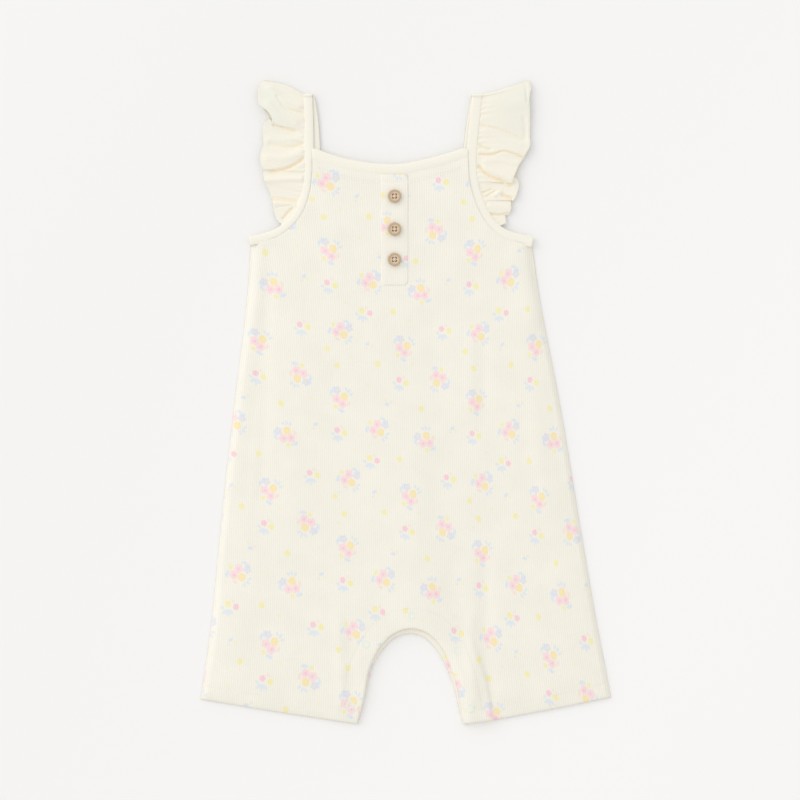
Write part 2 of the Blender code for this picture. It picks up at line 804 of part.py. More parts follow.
def placket(panel_top, collection, origin):
    """A strip with rounded lower corners, lying on the front panel's own surface."""
    half = (PLACKET_RIGHT - PLACKET_LEFT) / 2
    middle = (PLACKET_RIGHT + PLACKET_LEFT) / 2
    angles = np.linspace(0.0, math.pi / 2, PLACKET_CORNER_ROWS, endpoint=False)
    corner_rows = PLACKET_BOTTOM + PLACKET_CORNER * (1 - np.cos(angles))
    straight_from = PLACKET_BOTTOM + PLACKET_CORNER
    straight_rows = np.linspace(straight_from, PLACKET_TOP, PLACKET_ROWS + 1)
    heights = np.concatenate([corner_rows, straight_rows])

    def place(i, j):
        y = heights[j]
        below_straight = max(0.0, straight_from - y)
        narrowed = PLACKET_CORNER - math.sqrt(PLACKET_CORNER**2 - below_straight**2)
        x = middle + (half - narrowed) * (2 * i / PLACKET_COLUMNS - 1)
        return x, y, top_of(panel_top, x, y)[0] + GAP

    bm = mapped_grid(PLACKET_COLUMNS, len(heights) - 1, place)
    made = object_from(bm, "placket", PRINTED_KNIT, collection, origin)
    return thicken(made, PLACKET_CLOTH, 1)


def turned(name, profile, closed, steps, surface, collection, origin):
    """A profile of (radius, height) pairs turned round the Z axis."""
    mesh = bpy.data.meshes.new(name)
    corners = [(radius * MM, 0.0, height * MM) for radius, height in profile]
    edges = [(i, i + 1) for i in range(len(corners) - 1)]
    if closed:
        edges.append((len(corners) - 1, 0))
    mesh.from_pydata(corners, edges, [])
    made = add_object(name, mesh, surface, collection, origin)
    screw = made.modifiers.new("turn", "SCREW")
    screw.steps = steps
    screw.render_steps = steps
    screw.use_merge_vertices = True
    screw.merge_threshold = MERGE * MM
    screw.use_smooth_shade = True
    return made


def seat(made, tree, place, radius):
    """Lays a round piece on the surface under it, square to it and just clear of it."""
    centre_height, normal = top_of(tree, place.x, place.y)
    lift = 0.0
    for step in range(SEAT_ANGLES):
        angle = step * math.tau / SEAT_ANGLES
        for share in SEAT_REACHES:
            x = share * radius * math.cos(angle)
            y = share * radius * math.sin(angle)
            plane = centre_height - (normal.x * x + normal.y * y) / normal.z
            found, _ = top_of(tree, place.x + x, place.y + y)
            lift = max(lift, found - plane)
    made.location = Vector((place.x, place.y, centre_height + lift + GAP)) * MM
    made.rotation_mode = "QUATERNION"
    made.rotation_quaternion = Vector((0, 0, 1)).rotation_difference(normal)


def button(name, place, placket_top, collection, cutters, origin):
    """A turned wooden disc with a rim and four sewing holes."""
    label = f"button_{name}"
    made = turned(
        label, BUTTON_PROFILE, False, BUTTON_STEPS, TAN_WOOD, collection, origin
    )
    seat(made, placket_top, place, BUTTON_RADIUS)
    bm = bmesh.new()
    for across in (-0.5, 0.5):
        for along in (-0.5, 0.5):
            drilled = bmesh.ops.create_cone(
                bm,
                cap_ends=True,
                segments=BUTTON_HOLE_SIDES,
                radius1=BUTTON_HOLE_RADIUS * MM,
                radius2=BUTTON_HOLE_RADIUS * MM,
                depth=BUTTON_HOLE_DEPTH * MM,
            )
            middle = Vector((across, along, 0.0)) * BUTTON_HOLE_SPACING * MM
            bmesh.ops.translate(bm, verts=drilled["verts"], vec=middle)
    holes = object_from(bm, f"{label}_holes", TAN_WOOD, cutters, made)
    holes.hide_render = True
    holes.display_type = "WIRE"
    cut = made.modifiers.new("holes", "BOOLEAN")
    cut.operation = "DIFFERENCE"
    cut.solver = "EXACT"
    cut.object = holes
    return made


def snap(name, place, panel_top, collection, origin):
    """The ring of a snap fastener's cap, lying on the cloth."""
    bevel = (SNAP_OUTER_RADIUS - SNAP_INNER_RADIUS) * SNAP_BEVEL_SHARE
    middle = SNAP_HEIGHT / 2
    profile = [
        (SNAP_INNER_RADIUS, middle),
        (SNAP_INNER_RADIUS + bevel, SNAP_HEIGHT),
        (SNAP_OUTER_RADIUS - bevel, SNAP_HEIGHT),
        (SNAP_OUTER_RADIUS, middle),
        (SNAP_OUTER_RADIUS - bevel, 0.0),
        (SNAP_INNER_RADIUS + bevel, 0.0),
    ]
    made = turned(f"snap_{name}", profile, True, SNAP_STEPS, IVORY_CAP, collection, origin)
    seat(made, panel_top, place, SNAP_OUTER_RADIUS)
    return made


# The whole romper


def clear_scene():
    for old in list(bpy.data.objects):
        bpy.data.objects.remove(old)


def new_collection(name):
    made = bpy.data.collections.new(name)
    bpy.context.scene.collection.children.link(made)
    return made


def centre(collection, origin):
    """Moves the origin empty so that the middle of the box's base lies at zero."""
    bpy.context.view_layer.update()
    graph = bpy.context.evaluated_depsgraph_get()
    corners = []
    for made in collection.objects:
        evaluated = made.evaluated_get(graph)
        if evaluated.type == "EMPTY":
            continue
        mesh = evaluated.to_mesh()
        corners += [evaluated.matrix_world @ vertex.co for vertex in mesh.vertices]
        evaluated.to_mesh_clear()
    corners = np.array(corners)
    low = corners.min(axis=0)
    high = corners.max(axis=0)
    origin.location = (-(low[0] + high[0]) / 2, -(low[1] + high[1]) / 2, -low[2])


def build():
    clear_scene()
    collection = new_collection(OBJECT_NAME)
    cutters = new_collection("cutters")
    origin = bpy.data.objects.new(OBJECT_NAME, None)
    collection.objects.link(origin)

    front_lines = {row.side: smooth_path(row.centre_line, DENSE) for row in ARMHOLES}
    back_lines = {row.side: back_line(row, front_lines[row.side]) for row in ARMHOLES}
    front = PanelOutline(FRONT_INSEAM, front_lines, 0.0, 0.0, 0.0)
    back = PanelOutline(
        BACK_INSEAM, back_lines, BACK_NECK_DROP, BACK_SIDE_INSET, BACK_HEM_INSET
    )

    flat_piece("back_panel", back.ring(PANEL_SPACING), 0.0, CLOTH, PRINTED_KNIT, collection, origin)
    crotch_facing(back, collection, origin)
    panel = front_panel(front, collection, origin)
    neck_binding("neck_binding_back", back.neck, BACK_BINDING_MID, collection, origin)
    neck_binding("neck_binding_front", front.neck, FRONT_BINDING_MID, collection, origin)
    for row in ARMHOLES:
        armhole_binding(row, front_lines[row.side], collection, origin)
        ruffle(row, front_lines[row.side], collection, origin)

    bpy.context.view_layer.update()
    panel_top = surface_tree(panel)
    strip = placket(panel_top, collection, origin)
    bpy.context.view_layer.update()
    placket_top = surface_tree(strip)
    for name, place in BUTTONS.items():
        button(name, place, placket_top, collection, cutters, origin)
    for name, place in SNAPS.items():
        snap(name, place, panel_top, collection, origin)
    centre(collection, origin)


build()
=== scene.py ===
"""Looks of a baby romper laid flat: rib knit with a small flower print, bindings, ruffles and buttons.

The packed solids are the frame.  Each cloth solid is stood for by a finer shell on the same form, with
its ribs, folds, gathers and stitching.  Tables and lengths are in millimetres, as the cutter's are, and
turn into metres where a mesh is made.
"""

import math
from collections import namedtuple

import bmesh
import bpy
import numpy as np
from bpy.props import FloatProperty, FloatVectorProperty, IntProperty, PointerProperty
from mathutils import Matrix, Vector


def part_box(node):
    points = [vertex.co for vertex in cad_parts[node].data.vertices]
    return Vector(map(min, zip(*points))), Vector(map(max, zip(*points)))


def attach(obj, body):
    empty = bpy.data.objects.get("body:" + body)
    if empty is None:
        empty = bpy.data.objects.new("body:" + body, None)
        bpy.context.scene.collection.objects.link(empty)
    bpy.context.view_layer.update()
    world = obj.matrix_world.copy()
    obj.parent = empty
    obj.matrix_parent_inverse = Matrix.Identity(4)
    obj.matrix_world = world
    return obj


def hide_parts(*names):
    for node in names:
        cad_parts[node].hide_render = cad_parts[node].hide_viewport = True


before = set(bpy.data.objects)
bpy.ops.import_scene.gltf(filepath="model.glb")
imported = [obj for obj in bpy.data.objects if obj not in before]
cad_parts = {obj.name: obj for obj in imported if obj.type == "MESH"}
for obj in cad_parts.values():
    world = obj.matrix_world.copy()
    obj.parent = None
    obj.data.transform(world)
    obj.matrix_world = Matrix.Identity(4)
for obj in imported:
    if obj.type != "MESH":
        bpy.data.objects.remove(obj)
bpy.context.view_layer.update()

bl_info = {
    "name": "Baby romper",
    "version": (1, 0, 0),
    "blender": (4, 5, 0),
    "location": "View3D > Sidebar > Romper",
    "description": "Builds the cloth, trims and studio of a baby romper laid flat",
    "category": "Object",
}

MM = 0.001
BODY = "root"

Point = namedtuple("Point", "x y")
Crease = namedtuple("Crease", "line width height")
Armhole = namedtuple(
    "Armhole", "side outward width centre_line back_shift ruffle_end ruffle_crown ruffle"
)
Edges = namedtuple(
    "Edges", "left_side right_side left_hem right_hem inseam armhole_left armhole_right neck"
)
EdgeDistances = namedtuple("EdgeDistances", "side hem inseam neck")
# Drawn shapes of a motif: leaves and petals are ellipses, and a flower with petals is a bloom
Leaf = namedtuple("Leaf", "ink x y long wide turn cover")
Bloom = namedtuple("Bloom", "ink x y radius petals turn lobe cover")

# The solids' own sizes, which the cloth follows
CLOTH = 1.2
FACING_CLOTH = 1.0
GAP = 0.3
BINDING_THICKNESS = 2.4
NECK_BINDING_WIDTH = 8.4
BACK_BINDING_MID = BINDING_THICKNESS / 2
FRONT_BINDING_MID = BINDING_THICKNESS * 1.5 + GAP
STRAP_FOLD_RADIUS = (FRONT_BINDING_MID - BACK_BINDING_MID) / 2
SIDE_REST = CLOTH + GAP
FACING_REST = SIDE_REST + FACING_CLOTH + GAP
CHEST_REST = FRONT_BINDING_MID - CLOTH / 2
LOFT_REACH = 26.0
LOFT_POWER = 3.0
LAYER_SLOPE = 0.10
LAYER_BLEND = 0.5

# Edges of the panels, as (x, y)
LEFT_SIDE = [
    (-156.2, -225.3), (-149.0, -176.7), (-139.5, -81.7), (-130.0, 1.9), (-120.8, 77.9),
]
RIGHT_SIDE = [
    (155.8, -223.8), (145.9, -172.9), (131.5, -89.3), (116.3, 1.9), (101.8, 77.9),
]
LEFT_HEM = [(-156.2, -225.3), (-96.0, -235.3), (-36.8, -244.2)]
RIGHT_HEM = [
    (43.5, -244.3), (67.6, -241.0), (92.7, -236.4), (122.4, -230.7), (155.8, -223.8),
]
FRONT_INSEAM = [
    (-36.8, -244.2), (-32.0, -226.1), (-26.9, -200.6), (-19.6, -186.1), (-10.9, -176.7),
    (3.6, -171.6), (15.2, -174.4), (26.9, -186.1), (35.6, -206.5), (43.5, -244.3),
]
BACK_INSEAM = [
    (-36.5, -243.4), (-31.6, -226.0), (-26.2, -202.5), (-18.2, -188.2), (-9.0, -179.0),
    (3.0, -175.4), (12.4, -177.6), (23.0, -187.6), (32.8, -206.5), (42.8, -243.6),
]
NECK_LINE = [
    (-69.2, 187.9), (-52.4, 182.1), (-34.0, 178.4), (-17.0, 176.7), (-4.6, 176.7), (15.1, 180.2),
    (32.6, 184.8), (44.2, 188.6),
]
BACK_SIDE_INSET = 0.6
BACK_HEM_INSET = 0.8
BACK_NECK_DROP = 3.0
FACING_WIDTH = 16.0
NECK_HALF_REACH = 90.0
NECK_END_CLEARANCE = 1.0

# Folds that the front's solid has, as a line, a width and a height
FRONT_FOLDS = [
    Crease([(-104, 95), (-110, -70)], 6.0, -0.7), Crease([(-76, 60), (-86, -85)], 18.0, 0.7),
    Crease([(2, -40), (4, -172)], 28.0, 1.3), Crease([(35, -130), (44, -180)], 9.0, -0.7),
    Crease([(49, -165), (51, -234)], 5.0, 1.0), Crease([(60, -118), (62, -236)], 6.0, -1.1),
    Crease([(76, -100), (82, -225)], 10.0, 0.5), Crease([(-51, -165), (-48, -236)], 5.0, 0.8),
    Crease([(-42, -178), (-41, -236)], 4.5, -0.5), Crease([(49, 42), (50, 0)], 6.0, 0.6),
    Crease([(59, 42), (59, -12)], 6.0, -0.5), Crease([(101, -10), (107, -78)], 8.0, 0.6),
    Crease([(86, 108), (93, 58)], 9.0, 0.8), Crease([(20, 60), (28, -60)], 14.0, -0.5),
    Crease([(-60, 150), (-52, 95)], 9.0, 0.5), Crease([(32, 152), (40, 100)], 9.0, 0.4),
    Crease([(-118, -120), (-126, -205)], 10.0, 0.5), Crease([(116, -130), (124, -205)], 9.0, 0.5),
]

# Finer ones that only the cloth has
FRONT_CREASES = [
    Crease([(-103.0, 112.0), (-108.5, 60.0), (-115.0, 0.0), (-122.0, -70.0)], 5.0, -0.5),
    Crease([(7.0, -60.0), (8.0, -120.0), (8.0, -166.0)], 11.0, 0.5),
    Crease([(33.0, -128.0), (31.0, -160.0), (40.0, -186.0)], 8.0, -0.5),
    Crease([(11.0, -157.0), (24.0, -160.5), (36.0, -170.0), (45.0, -184.0)], 1.6, 0.3),
    Crease([(46.0, -118.0), (46.0, -170.0), (50.0, -236.0)], 7.0, 0.3),
    Crease([(78.0, -110.0), (86.0, -225.0)], 12.0, -0.5),
    Crease([(42.5, -229.0), (49.0, -231.5), (60.0, -232.5)], 0.9, -0.35),
    Crease([(97.0, -8.0), (104.0, -76.0)], 6.0, 0.3),
    Crease([(88.0, 122.0), (95.0, 96.0), (97.0, 60.0)], 7.0, 0.7),
    Crease([(-100.0, -180.0), (-104.0, -226.0)], 10.0, 0.35),
    Crease([(102.0, -150.0), (110.0, -218.0)], 12.0, 0.4),
    Crease([(-20.0, 40.0), (-26.0, -60.0)], 20.0, 0.35),
]
RUFFLE_CREASES = {
    "left": [
        Crease([(-103.4, 238.4), (-94.8, 229.9), (-81.5, 224.2)], 3.2, 1.3),
        Crease([(-97.7, 231.8), (-91.0, 223.2), (-78.7, 219.9)], 1.1, -0.9),
        Crease([(-104.0, 226.0), (-96.0, 217.5), (-84.0, 212.5)], 3.5, 0.9),
        Crease([(-99.5, 210.4), (-93.0, 208.0), (-84.5, 205.6)], 1.2, -1.7),
        Crease([(-104.0, 200.0), (-92.0, 199.0), (-80.0, 201.0)], 2.4, 0.7),
        Crease([(-102.3, 195.7), (-90.0, 193.3), (-77.7, 195.7)], 2.0, -0.9),
        Crease([(-105.0, 186.0), (-92.0, 185.0), (-80.0, 189.5)], 2.8, 1.0),
        Crease([(-101.5, 175.2), (-90.0, 177.6), (-82.5, 181.4), (-77.7, 185.2)], 1.2, -2.0),
        Crease([(-106.0, 168.4), (-92.0, 169.4), (-78.5, 169.8)], 2.2, 1.5),
        Crease([(-101.0, 154.2), (-92.0, 153.4), (-83.0, 152.6)], 1.5, -1.3),
        Crease([(-99.0, 151.4), (-91.0, 150.6), (-85.0, 149.8)], 1.1, 0.7),
        Crease([(-98.6, 147.6), (-85.3, 150.0)], 0.7, -0.5),
        Crease([(-92.9, 139.8), (-86.3, 147.0)], 1.1, -1.5),
    ],
    "right": [
        Crease([(57.0, 210.2), (68.4, 207.8), (79.0, 203.8), (88.5, 199.3)], 0.9, -0.9),
        Crease([(60.0, 205.0), (74.0, 199.0), (86.0, 194.5)], 3.0, 0.7),
        Crease([(56.7, 194.8), (63.8, 191.7)], 0.9, -1.2),
        Crease([(56.2, 188.1), (65.7, 188.1), (74.3, 190.7), (80.9, 189.0), (88.5, 186.0)], 0.9, -1.5),
        Crease([(60.0, 183.0), (72.0, 184.0), (84.0, 181.0)], 2.2, 0.8),
        Crease([(55.3, 179.3), (62.9, 172.0), (72.4, 168.3), (79.0, 164.6)], 1.2, -2.1),
        Crease([(60.0, 178.0), (70.0, 173.5), (80.0, 169.0)], 1.8, 1.0),
        Crease([(58.6, 159.2), (64.8, 161.6)], 0.8, -1.0),
        Crease([(61.9, 156.7), (67.6, 160.4)], 0.8, -0.9),
        Crease([(67.0, 156.5), (72.0, 160.5)], 1.2, 0.7),
        Crease([(73.5, 157.2), (80.0, 154.6)], 1.3, -2.0),
        Crease([(64.0, 149.5), (77.0, 149.5)], 3.0, 0.8),
        Crease([(63.8, 143.0), (71.0, 142.2), (78.1, 143.4)], 1.0, -1.4),
        Crease([(89.6, 216.0), (90.6, 206.0), (90.4, 199.0)], 1.6, -0.7),
        Crease([(90.4, 243.0), (91.0, 236.0), (91.6, 228.0)], 0.7, -0.8),
        Crease([(66.0, 228.0), (78.0, 226.0), (88.0, 228.0)], 5.0, 0.6),
    ],
}

PLACKET_LEFT = -19.0
PLACKET_RIGHT = 1.5
PLACKET_TOP = 171.4
PLACKET_BOTTOM = 88.8
PLACKET_CORNER = 4.0

BUTTONS = {
    "top": Point(-8.7, 156.1),
    "middle": Point(-8.7, 131.2),
    "bottom": Point(-8.8, 108.2),
}
BUTTON_RADIUS = 5.0
BUTTON_HOLE_SPACING = 2.3
SNAPS = {
    "crotch": Point(4.2, -161.4),
    "left_upper": Point(-30.2, -183.4),
    "left_lower": Point(-42.4, -229.4),
    "right_upper": Point(38.9, -187.6),
    "right_lower": Point(48.4, -231.0),
}

# A ruffle's free edge from the front to the back: the share of its seam (1 is the shoulder), x, y and z
LEFT_RUFFLE = [
    (0.00, -97.6, 138.4, 3.8), (0.06, -98.9, 141.9, 3.9), (0.12, -100.0, 146.5, 3.4),
    (0.17, -100.8, 152.0, 4.7), (0.22, -102.2, 156.8, 3.0), (0.28, -104.8, 163.5, 4.2),
    (0.315, -106.8, 168.2, 6.0), (0.35, -107.6, 171.4, 4.2), (0.39, -107.8, 175.4, 3.2),
    (0.42, -106.0, 179.2, 4.6), (0.435, -107.2, 176.8, 7.0), (0.47, -109.8, 180.8, 8.4),
    (0.52, -110.2, 187.5, 7.4), (0.58, -107.9, 195.5, 5.2), (0.64, -108.1, 203.5, 3.6),
    (0.69, -107.6, 210.6, 3.2), (0.715, -103.6, 214.6, 4.6), (0.735, -101.2, 210.8, 7.2),
    (0.765, -101.4, 215.6, 8.9), (0.80, -104.8, 221.0, 9.2), (0.84, -111.0, 226.3, 8.8),
    (0.90, -111.9, 232.8, 7.4), (0.96, -110.9, 240.4, 5.2), (1.00, -108.1, 244.2, 2.6),
    (1.05, -109.3, 238.0, 1.1), (1.15, -109.8, 227.0, 0.8), (1.24, -105.2, 217.0, 1.2),
    (1.34, -107.0, 206.0, 0.7), (1.46, -106.8, 194.0, 1.2), (1.60, -107.6, 178.0, 0.8),
    (1.72, -104.6, 166.0, 1.2), (1.88, -99.4, 149.0, 0.8), (2.00, -96.4, 139.0, 1.1),
]
RIGHT_RUFFLE = [
    (0.00, 75.6, 136.0, 3.7), (0.05, 75.4, 139.4, 3.4), (0.09, 74.8, 142.6, 3.1),
    (0.115, 77.4, 142.8, 4.6), (0.14, 79.2, 146.2, 5.2), (0.18, 79.4, 151.0, 3.4),
    (0.21, 79.0, 155.4, 3.6), (0.225, 81.0, 153.4, 5.8), (0.25, 83.0, 156.6, 6.4),
    (0.29, 84.6, 161.0, 4.4), (0.33, 85.4, 166.6, 3.2), (0.352, 82.6, 170.6, 4.4),
    (0.37, 80.4, 166.2, 7.4), (0.42, 82.2, 172.5, 8.2), (0.48, 85.0, 179.1, 6.4),
    (0.53, 88.2, 184.4, 5.6), (0.57, 91.4, 189.8, 8.0), (0.62, 94.1, 196.2, 6.4),
    (0.67, 93.6, 201.5, 4.6), (0.73, 93.7, 210.9, 6.2), (0.82, 93.6, 220.8, 7.6),
    (0.91, 93.3, 232.0, 7.2), (0.96, 94.4, 239.0, 5.6), (1.00, 92.5, 244.7, 2.6),
    (1.05, 93.2, 238.0, 1.1), (1.18, 91.6, 222.0, 0.7), (1.32, 92.2, 206.0, 1.2),
    (1.46, 90.0, 190.0, 0.8), (1.60, 84.4, 174.0, 1.2), (1.76, 82.8, 157.0, 0.8),
    (1.90, 76.0, 143.0, 1.2), (2.00, 72.6, 134.4, 1.0),
]
RUFFLE_RISE = 0.7
RUFFLE_CROWN_REACH = 0.12
BACK_SWING_POWER = 0.7
ARMHOLES = [
    Armhole(
        side="left",
        outward=1,
        width=7.2,
        centre_line=[
            (-118.4, 122.3), (-107.6, 124.7), (-98.6, 127.9), (-90.5, 133.2), (-83.0, 141.2),
            (-77.9, 150.9), (-74.9, 161.5), (-73.6, 172.5), (-73.4, 190.0), (-73.7, 210.0),
            (-74.4, 232.0),
        ],
        back_shift=5.0,
        ruffle_end=Point(-92.4, 131.8),
        ruffle_crown=2.2,
        ruffle=LEFT_RUFFLE,
    ),
    Armhole(
        side="right",
        outward=-1,
        width=7.8,
        centre_line=[
            (96.2, 121.6), (88.6, 123.2), (80.2, 125.4), (71.1, 129.6), (64.2, 136.0),
            (57.8, 146.3), (53.6, 156.9), (50.8, 167.8), (49.6, 180.0), (50.1, 193.0),
            (51.7, 210.0), (54.0, 232.0),
        ],
        back_shift=-2.8,
        ruffle_end=Point(69.0, 131.4),
        ruffle_crown=-1.2,
        ruffle=RIGHT_RUFFLE,
    ),
]

# How the knit lies on the front: across the wales and along them, as it was pulled to shape
WALE_LEAN = 0.041  # sideways for each millimetre up
SIDE_CROWDING = 0.000417  # wales lie closer together towards the right
CHEST_SPREAD = 0.000265
CHEST_SPREAD_SQUARED = 0.00000240
WIDTH_SCALE = 1.008
WIDTH_START = -0.3
COURSE_TILT = 0.022
COURSE_BOW = 0.00020
COURSE_BOW_GROWTH = 0.0000016
LENGTH_SCALE = 1.020
LENGTH_CROWDING = 0.000057
LENGTH_CROWDING_GROWTH = 0.0000004
LENGTH_SKEW = 0.00012
LENGTH_START = -1.3
PRINT_PULLS = [  # x, y, how far the cloth is pulled up there, and over what reach
    (-90.0, 131.0, 6.0, 14.0), (-46.0, 178.0, 5.0, 7.0), (88.0, 118.0, 3.2, 22.0),
    (54.0, -196.0, -2.6, 10.0), (62.0, -222.0, -3.2, 11.0),
]
RIB_LEAN = 0.020
RIB_CROWDING = 0.00005

# The flower print: where each motif lies in its repeat, as shares across and down, and its turn
PRINT_START = (0.470, 0.0246)
BOUQUETS = [
    (0.000, 0.000, 0), (0.255, 0.200, -86), (0.603, 0.260, 45), (0.030, 0.545, -90),
    (0.471, 0.641, -4), (0.716, 0.857, 200),
]
POSIES = [
    (0.984, 0.234, 0), (0.776, 0.528, 4), (0.446, 0.881, -5),
]
TURNED_POSIES = [(0.199, 0.413, 0)]
SPRIGS = [
    (0.335, 0.025, 150), (0.805, 0.190, 0), (0.205, 0.630, 10),
]
BUDS = [
    (0.578, 0.053, 20), (0.402, 0.397, 70), (0.274, 0.757, 0), (0.983, 0.780, 40),
    (0.921, 0.665, 100),
]
SPECKS = [
    (0.79, 0.01, 0), (0.44, 0.20, 0), (0.07, 0.345, 0), (0.795, 0.345, 0), (0.52, 0.46, 0),
    (0.09, 0.715, 0), (0.65, 0.665, 0), (0.53, 0.755, 0), (0.94, 0.84, 0), (0.20, 0.905, 0),
]
MOTIF_REACH = {"bouquet": 12.0, "posy": 8.5, "turned_posy": 8.5, "sprig": 5.0, "bud": 3.2, "speck": 1.8}
MOTIF_MARGIN = 1.5

# Each motif's shapes, in millimetres from its middle
BOUQUET = [
    Bloom("lavender", -2.9, 5.9, 2.7, 5, 30, 0.14, 0.62),
    Leaf("blue", -6.6, 5.4, 2.2, 1, 35, 0.71),
    Leaf("blue", -7.6, 3.3, 1.5, 0.84, 80, 0.62),
    Leaf("blue", -5.2, 7.6, 1.5, 0.84, 5, 0.57),
    Leaf("blue", 3.9, 6.9, 1.5, 0.87, 115, 0.66),
    Leaf("blue", 6.2, 5.6, 1.6, 0.87, 60, 0.71),
    Leaf("blue", 7.6, 3.2, 1.6, 0.87, 25, 0.66),
    Leaf("yellow", -2.4, 6.2, 0.8, 0.7, 0, 0.7),
    Bloom("pink", -3.9, -0.2, 3.1, 5, 10, 0.10, 0.68),
    Bloom("pink", 0.4, -4.1, 3.0, 5, 60, 0.10, 0.72),
    Leaf("rose", -3.6, -0.6, 1.0, 0.9, 0, 0.62),
    Leaf("rose", 0.6, -3.9, 1.1, 0.9, 40, 0.70),
    Leaf("peach", 5.3, -3.4, 1.9, 1.1, 65, 0.62),
    Leaf("peach", 3.2, -1.8, 1.0, 0.7, 100, 0.4),
    Bloom("orange", 2.2, 1.6, 2.9, 6, 0, 0.05, 0.80),
    Leaf("yellow", 2.4, 1.9, 1.3, 1.1, 20, 0.55),
    Bloom("yellow", -4.9, -6.0, 1.55, 4, 20, 0.09, 0.80),
    Leaf("blue", -0.9, -8.6, 2.2, 1.3, 150, 0.68),
    Leaf("blue", 0.9, -9.3, 1.4, 0.84, 30, 0.57),
]
POSY = [
    Leaf("blue", -6.2, -0.8, 1.5, 0.95, 150, 0.62),
    Leaf("blue", -4.6, -3.5, 2.2, 1.2, 40, 0.62),
    Leaf("blue", -2.5, -4.4, 2.3, 1.2, 95, 0.58),
    Leaf("blue", -0.4, -3.6, 2.1, 1.15, 140, 0.62),
    Bloom("rose", -2.8, 2.0, 2.1, 5, 0, 0.07, 0.72),
    Bloom("yellow", 2.9, 0.1, 2.1, 5, 30, 0.08, 0.85),
    Leaf("peach", 0.6, 4.6, 1.1, 0.8, 60, 0.5),
    Leaf("peach", 2.2, 3.6, 0.8, 0.6, 0, 0.4),
]
TURNED_POSY = [
    Leaf("blue", -5.7, -0.8, 1.5, 0.95, 150, 0.62),
    Leaf("blue", -3.8, -3.5, 2.2, 1.2, 40, 0.62),
    Leaf("blue", -1.7, -4.3, 2.3, 1.2, 95, 0.58),
    Leaf("blue", 0.4, -3.5, 2.1, 1.15, 140, 0.62),
    Bloom("yellow", -1.9, 1.8, 2.2, 5, 0, 0.08, 0.80),
    Bloom("rose", 4.0, 0.1, 2.1, 5, 30, 0.07, 0.72),
    Leaf("peach", 1.9, 3.9, 1.1, 0.8, 60, 0.5),
]
SPRIG = [
    Leaf("blue", 0.3, 0.7, 1.7, 1.2, 20, 0.75),
    Leaf("blue", 1.5, 1.6, 0.9, 0.5, 50, 0.5),
    Leaf("peach", -1.5, -2.2, 1.0, 0.8, 0, 0.55),
    Leaf("yellow", 3.2, -1.3, 1.0, 0.8, 0, 0.55),
]
BUD = [Bloom("yellow", 0.0, 0.0, 2.15, 4, 10, 0.07, 0.82)]
SPECK = [Leaf("yellow", 0.0, 0.0, 0.95, 0.85, 0, 0.50)]
DRAWN = {
    "bouquet": (BOUQUETS, BOUQUET),
    "posy": (POSIES, POSY),
    "turned_posy": (TURNED_POSIES, TURNED_POSY),
    "sprig": (SPRIGS, SPRIG),
    "bud": (BUDS, BUD),
    "speck": (SPECKS, SPECK),
}

# The knit was let in sideways after printing, which drew every motif up taller
MOTIF_NARROWING = 0.95
MOTIF_LENGTHENING = 1.07

# How finely lines are drawn, in points, and threads, in sides
DENSE = 400
SPAN_STEPS = 16
THREAD_SIDES = 8
STITCH_SIDES = 6
CREASE_POINTS = 24
FORM_EDGE_POINTS = 40
EDGE_POINTS = 60
INSEAM_POINTS = 120


# Settings that a user would change


class RomperCloth(bpy.types.PropertyGroup):
    """The rib knit of the panels."""

    rib_pitch: FloatProperty(
        name="Rib pitch", description="From one rib to the next", default=1.57 * MM, unit="LENGTH"
    )
    rib_depth: FloatProperty(
        name="Rib depth", description="How far the ribs stand out", default=0.14 * MM, unit="LENGTH"
    )
    colour: FloatVectorProperty(
        name="Cloth colour",
        description="Colour of the unprinted knit",
        default=(0.930, 0.9015, 0.806),
        subtype="COLOR",
        min=0.0,
        max=1.0,
    )
    fuzz: FloatProperty(
        name="Fuzz", description="Soft sheen of the fibres", default=0.12, min=0.0, max=1.0
    )


class RomperPrint(bpy.types.PropertyGroup):
    """The flower print and its inks."""

    repeat_width: FloatProperty(
        name="Repeat width", description="Of the print, across", default=103.2 * MM, unit="LENGTH"
    )
    repeat_height: FloatProperty(
        name="Repeat height", description="Of the print, down", default=114.0 * MM, unit="LENGTH"
    )
    strength: FloatProperty(
        name="Ink strength", description="How fully the inks cover", default=1.0, min=0.0, max=1.0
    )
    orange: FloatVectorProperty(
        name="Orange", description="Large flower", default=(0.995, 0.76, 0.36), subtype="COLOR"
    )
    yellow: FloatVectorProperty(
        name="Yellow", description="Buds and specks", default=(0.95, 0.86, 0.33), subtype="COLOR"
    )
    pink: FloatVectorProperty(
        name="Pink", description="Blossoms", default=(1.0, 0.64, 0.72), subtype="COLOR"
    )
    rose: FloatVectorProperty(
        name="Rose", description="Hearts of the blossoms", default=(1.0, 0.48, 0.66), subtype="COLOR"
    )
    peach: FloatVectorProperty(
        name="Peach", description="Single petals", default=(0.98, 0.70, 0.62), subtype="COLOR"
    )
    blue: FloatVectorProperty(
        name="Blue", description="Leaves", default=(0.655, 0.77, 0.93), subtype="COLOR"
    )
    lavender: FloatVectorProperty(
        name="Lavender", description="Small flower", default=(0.66, 0.68, 0.93), subtype="COLOR"
    )


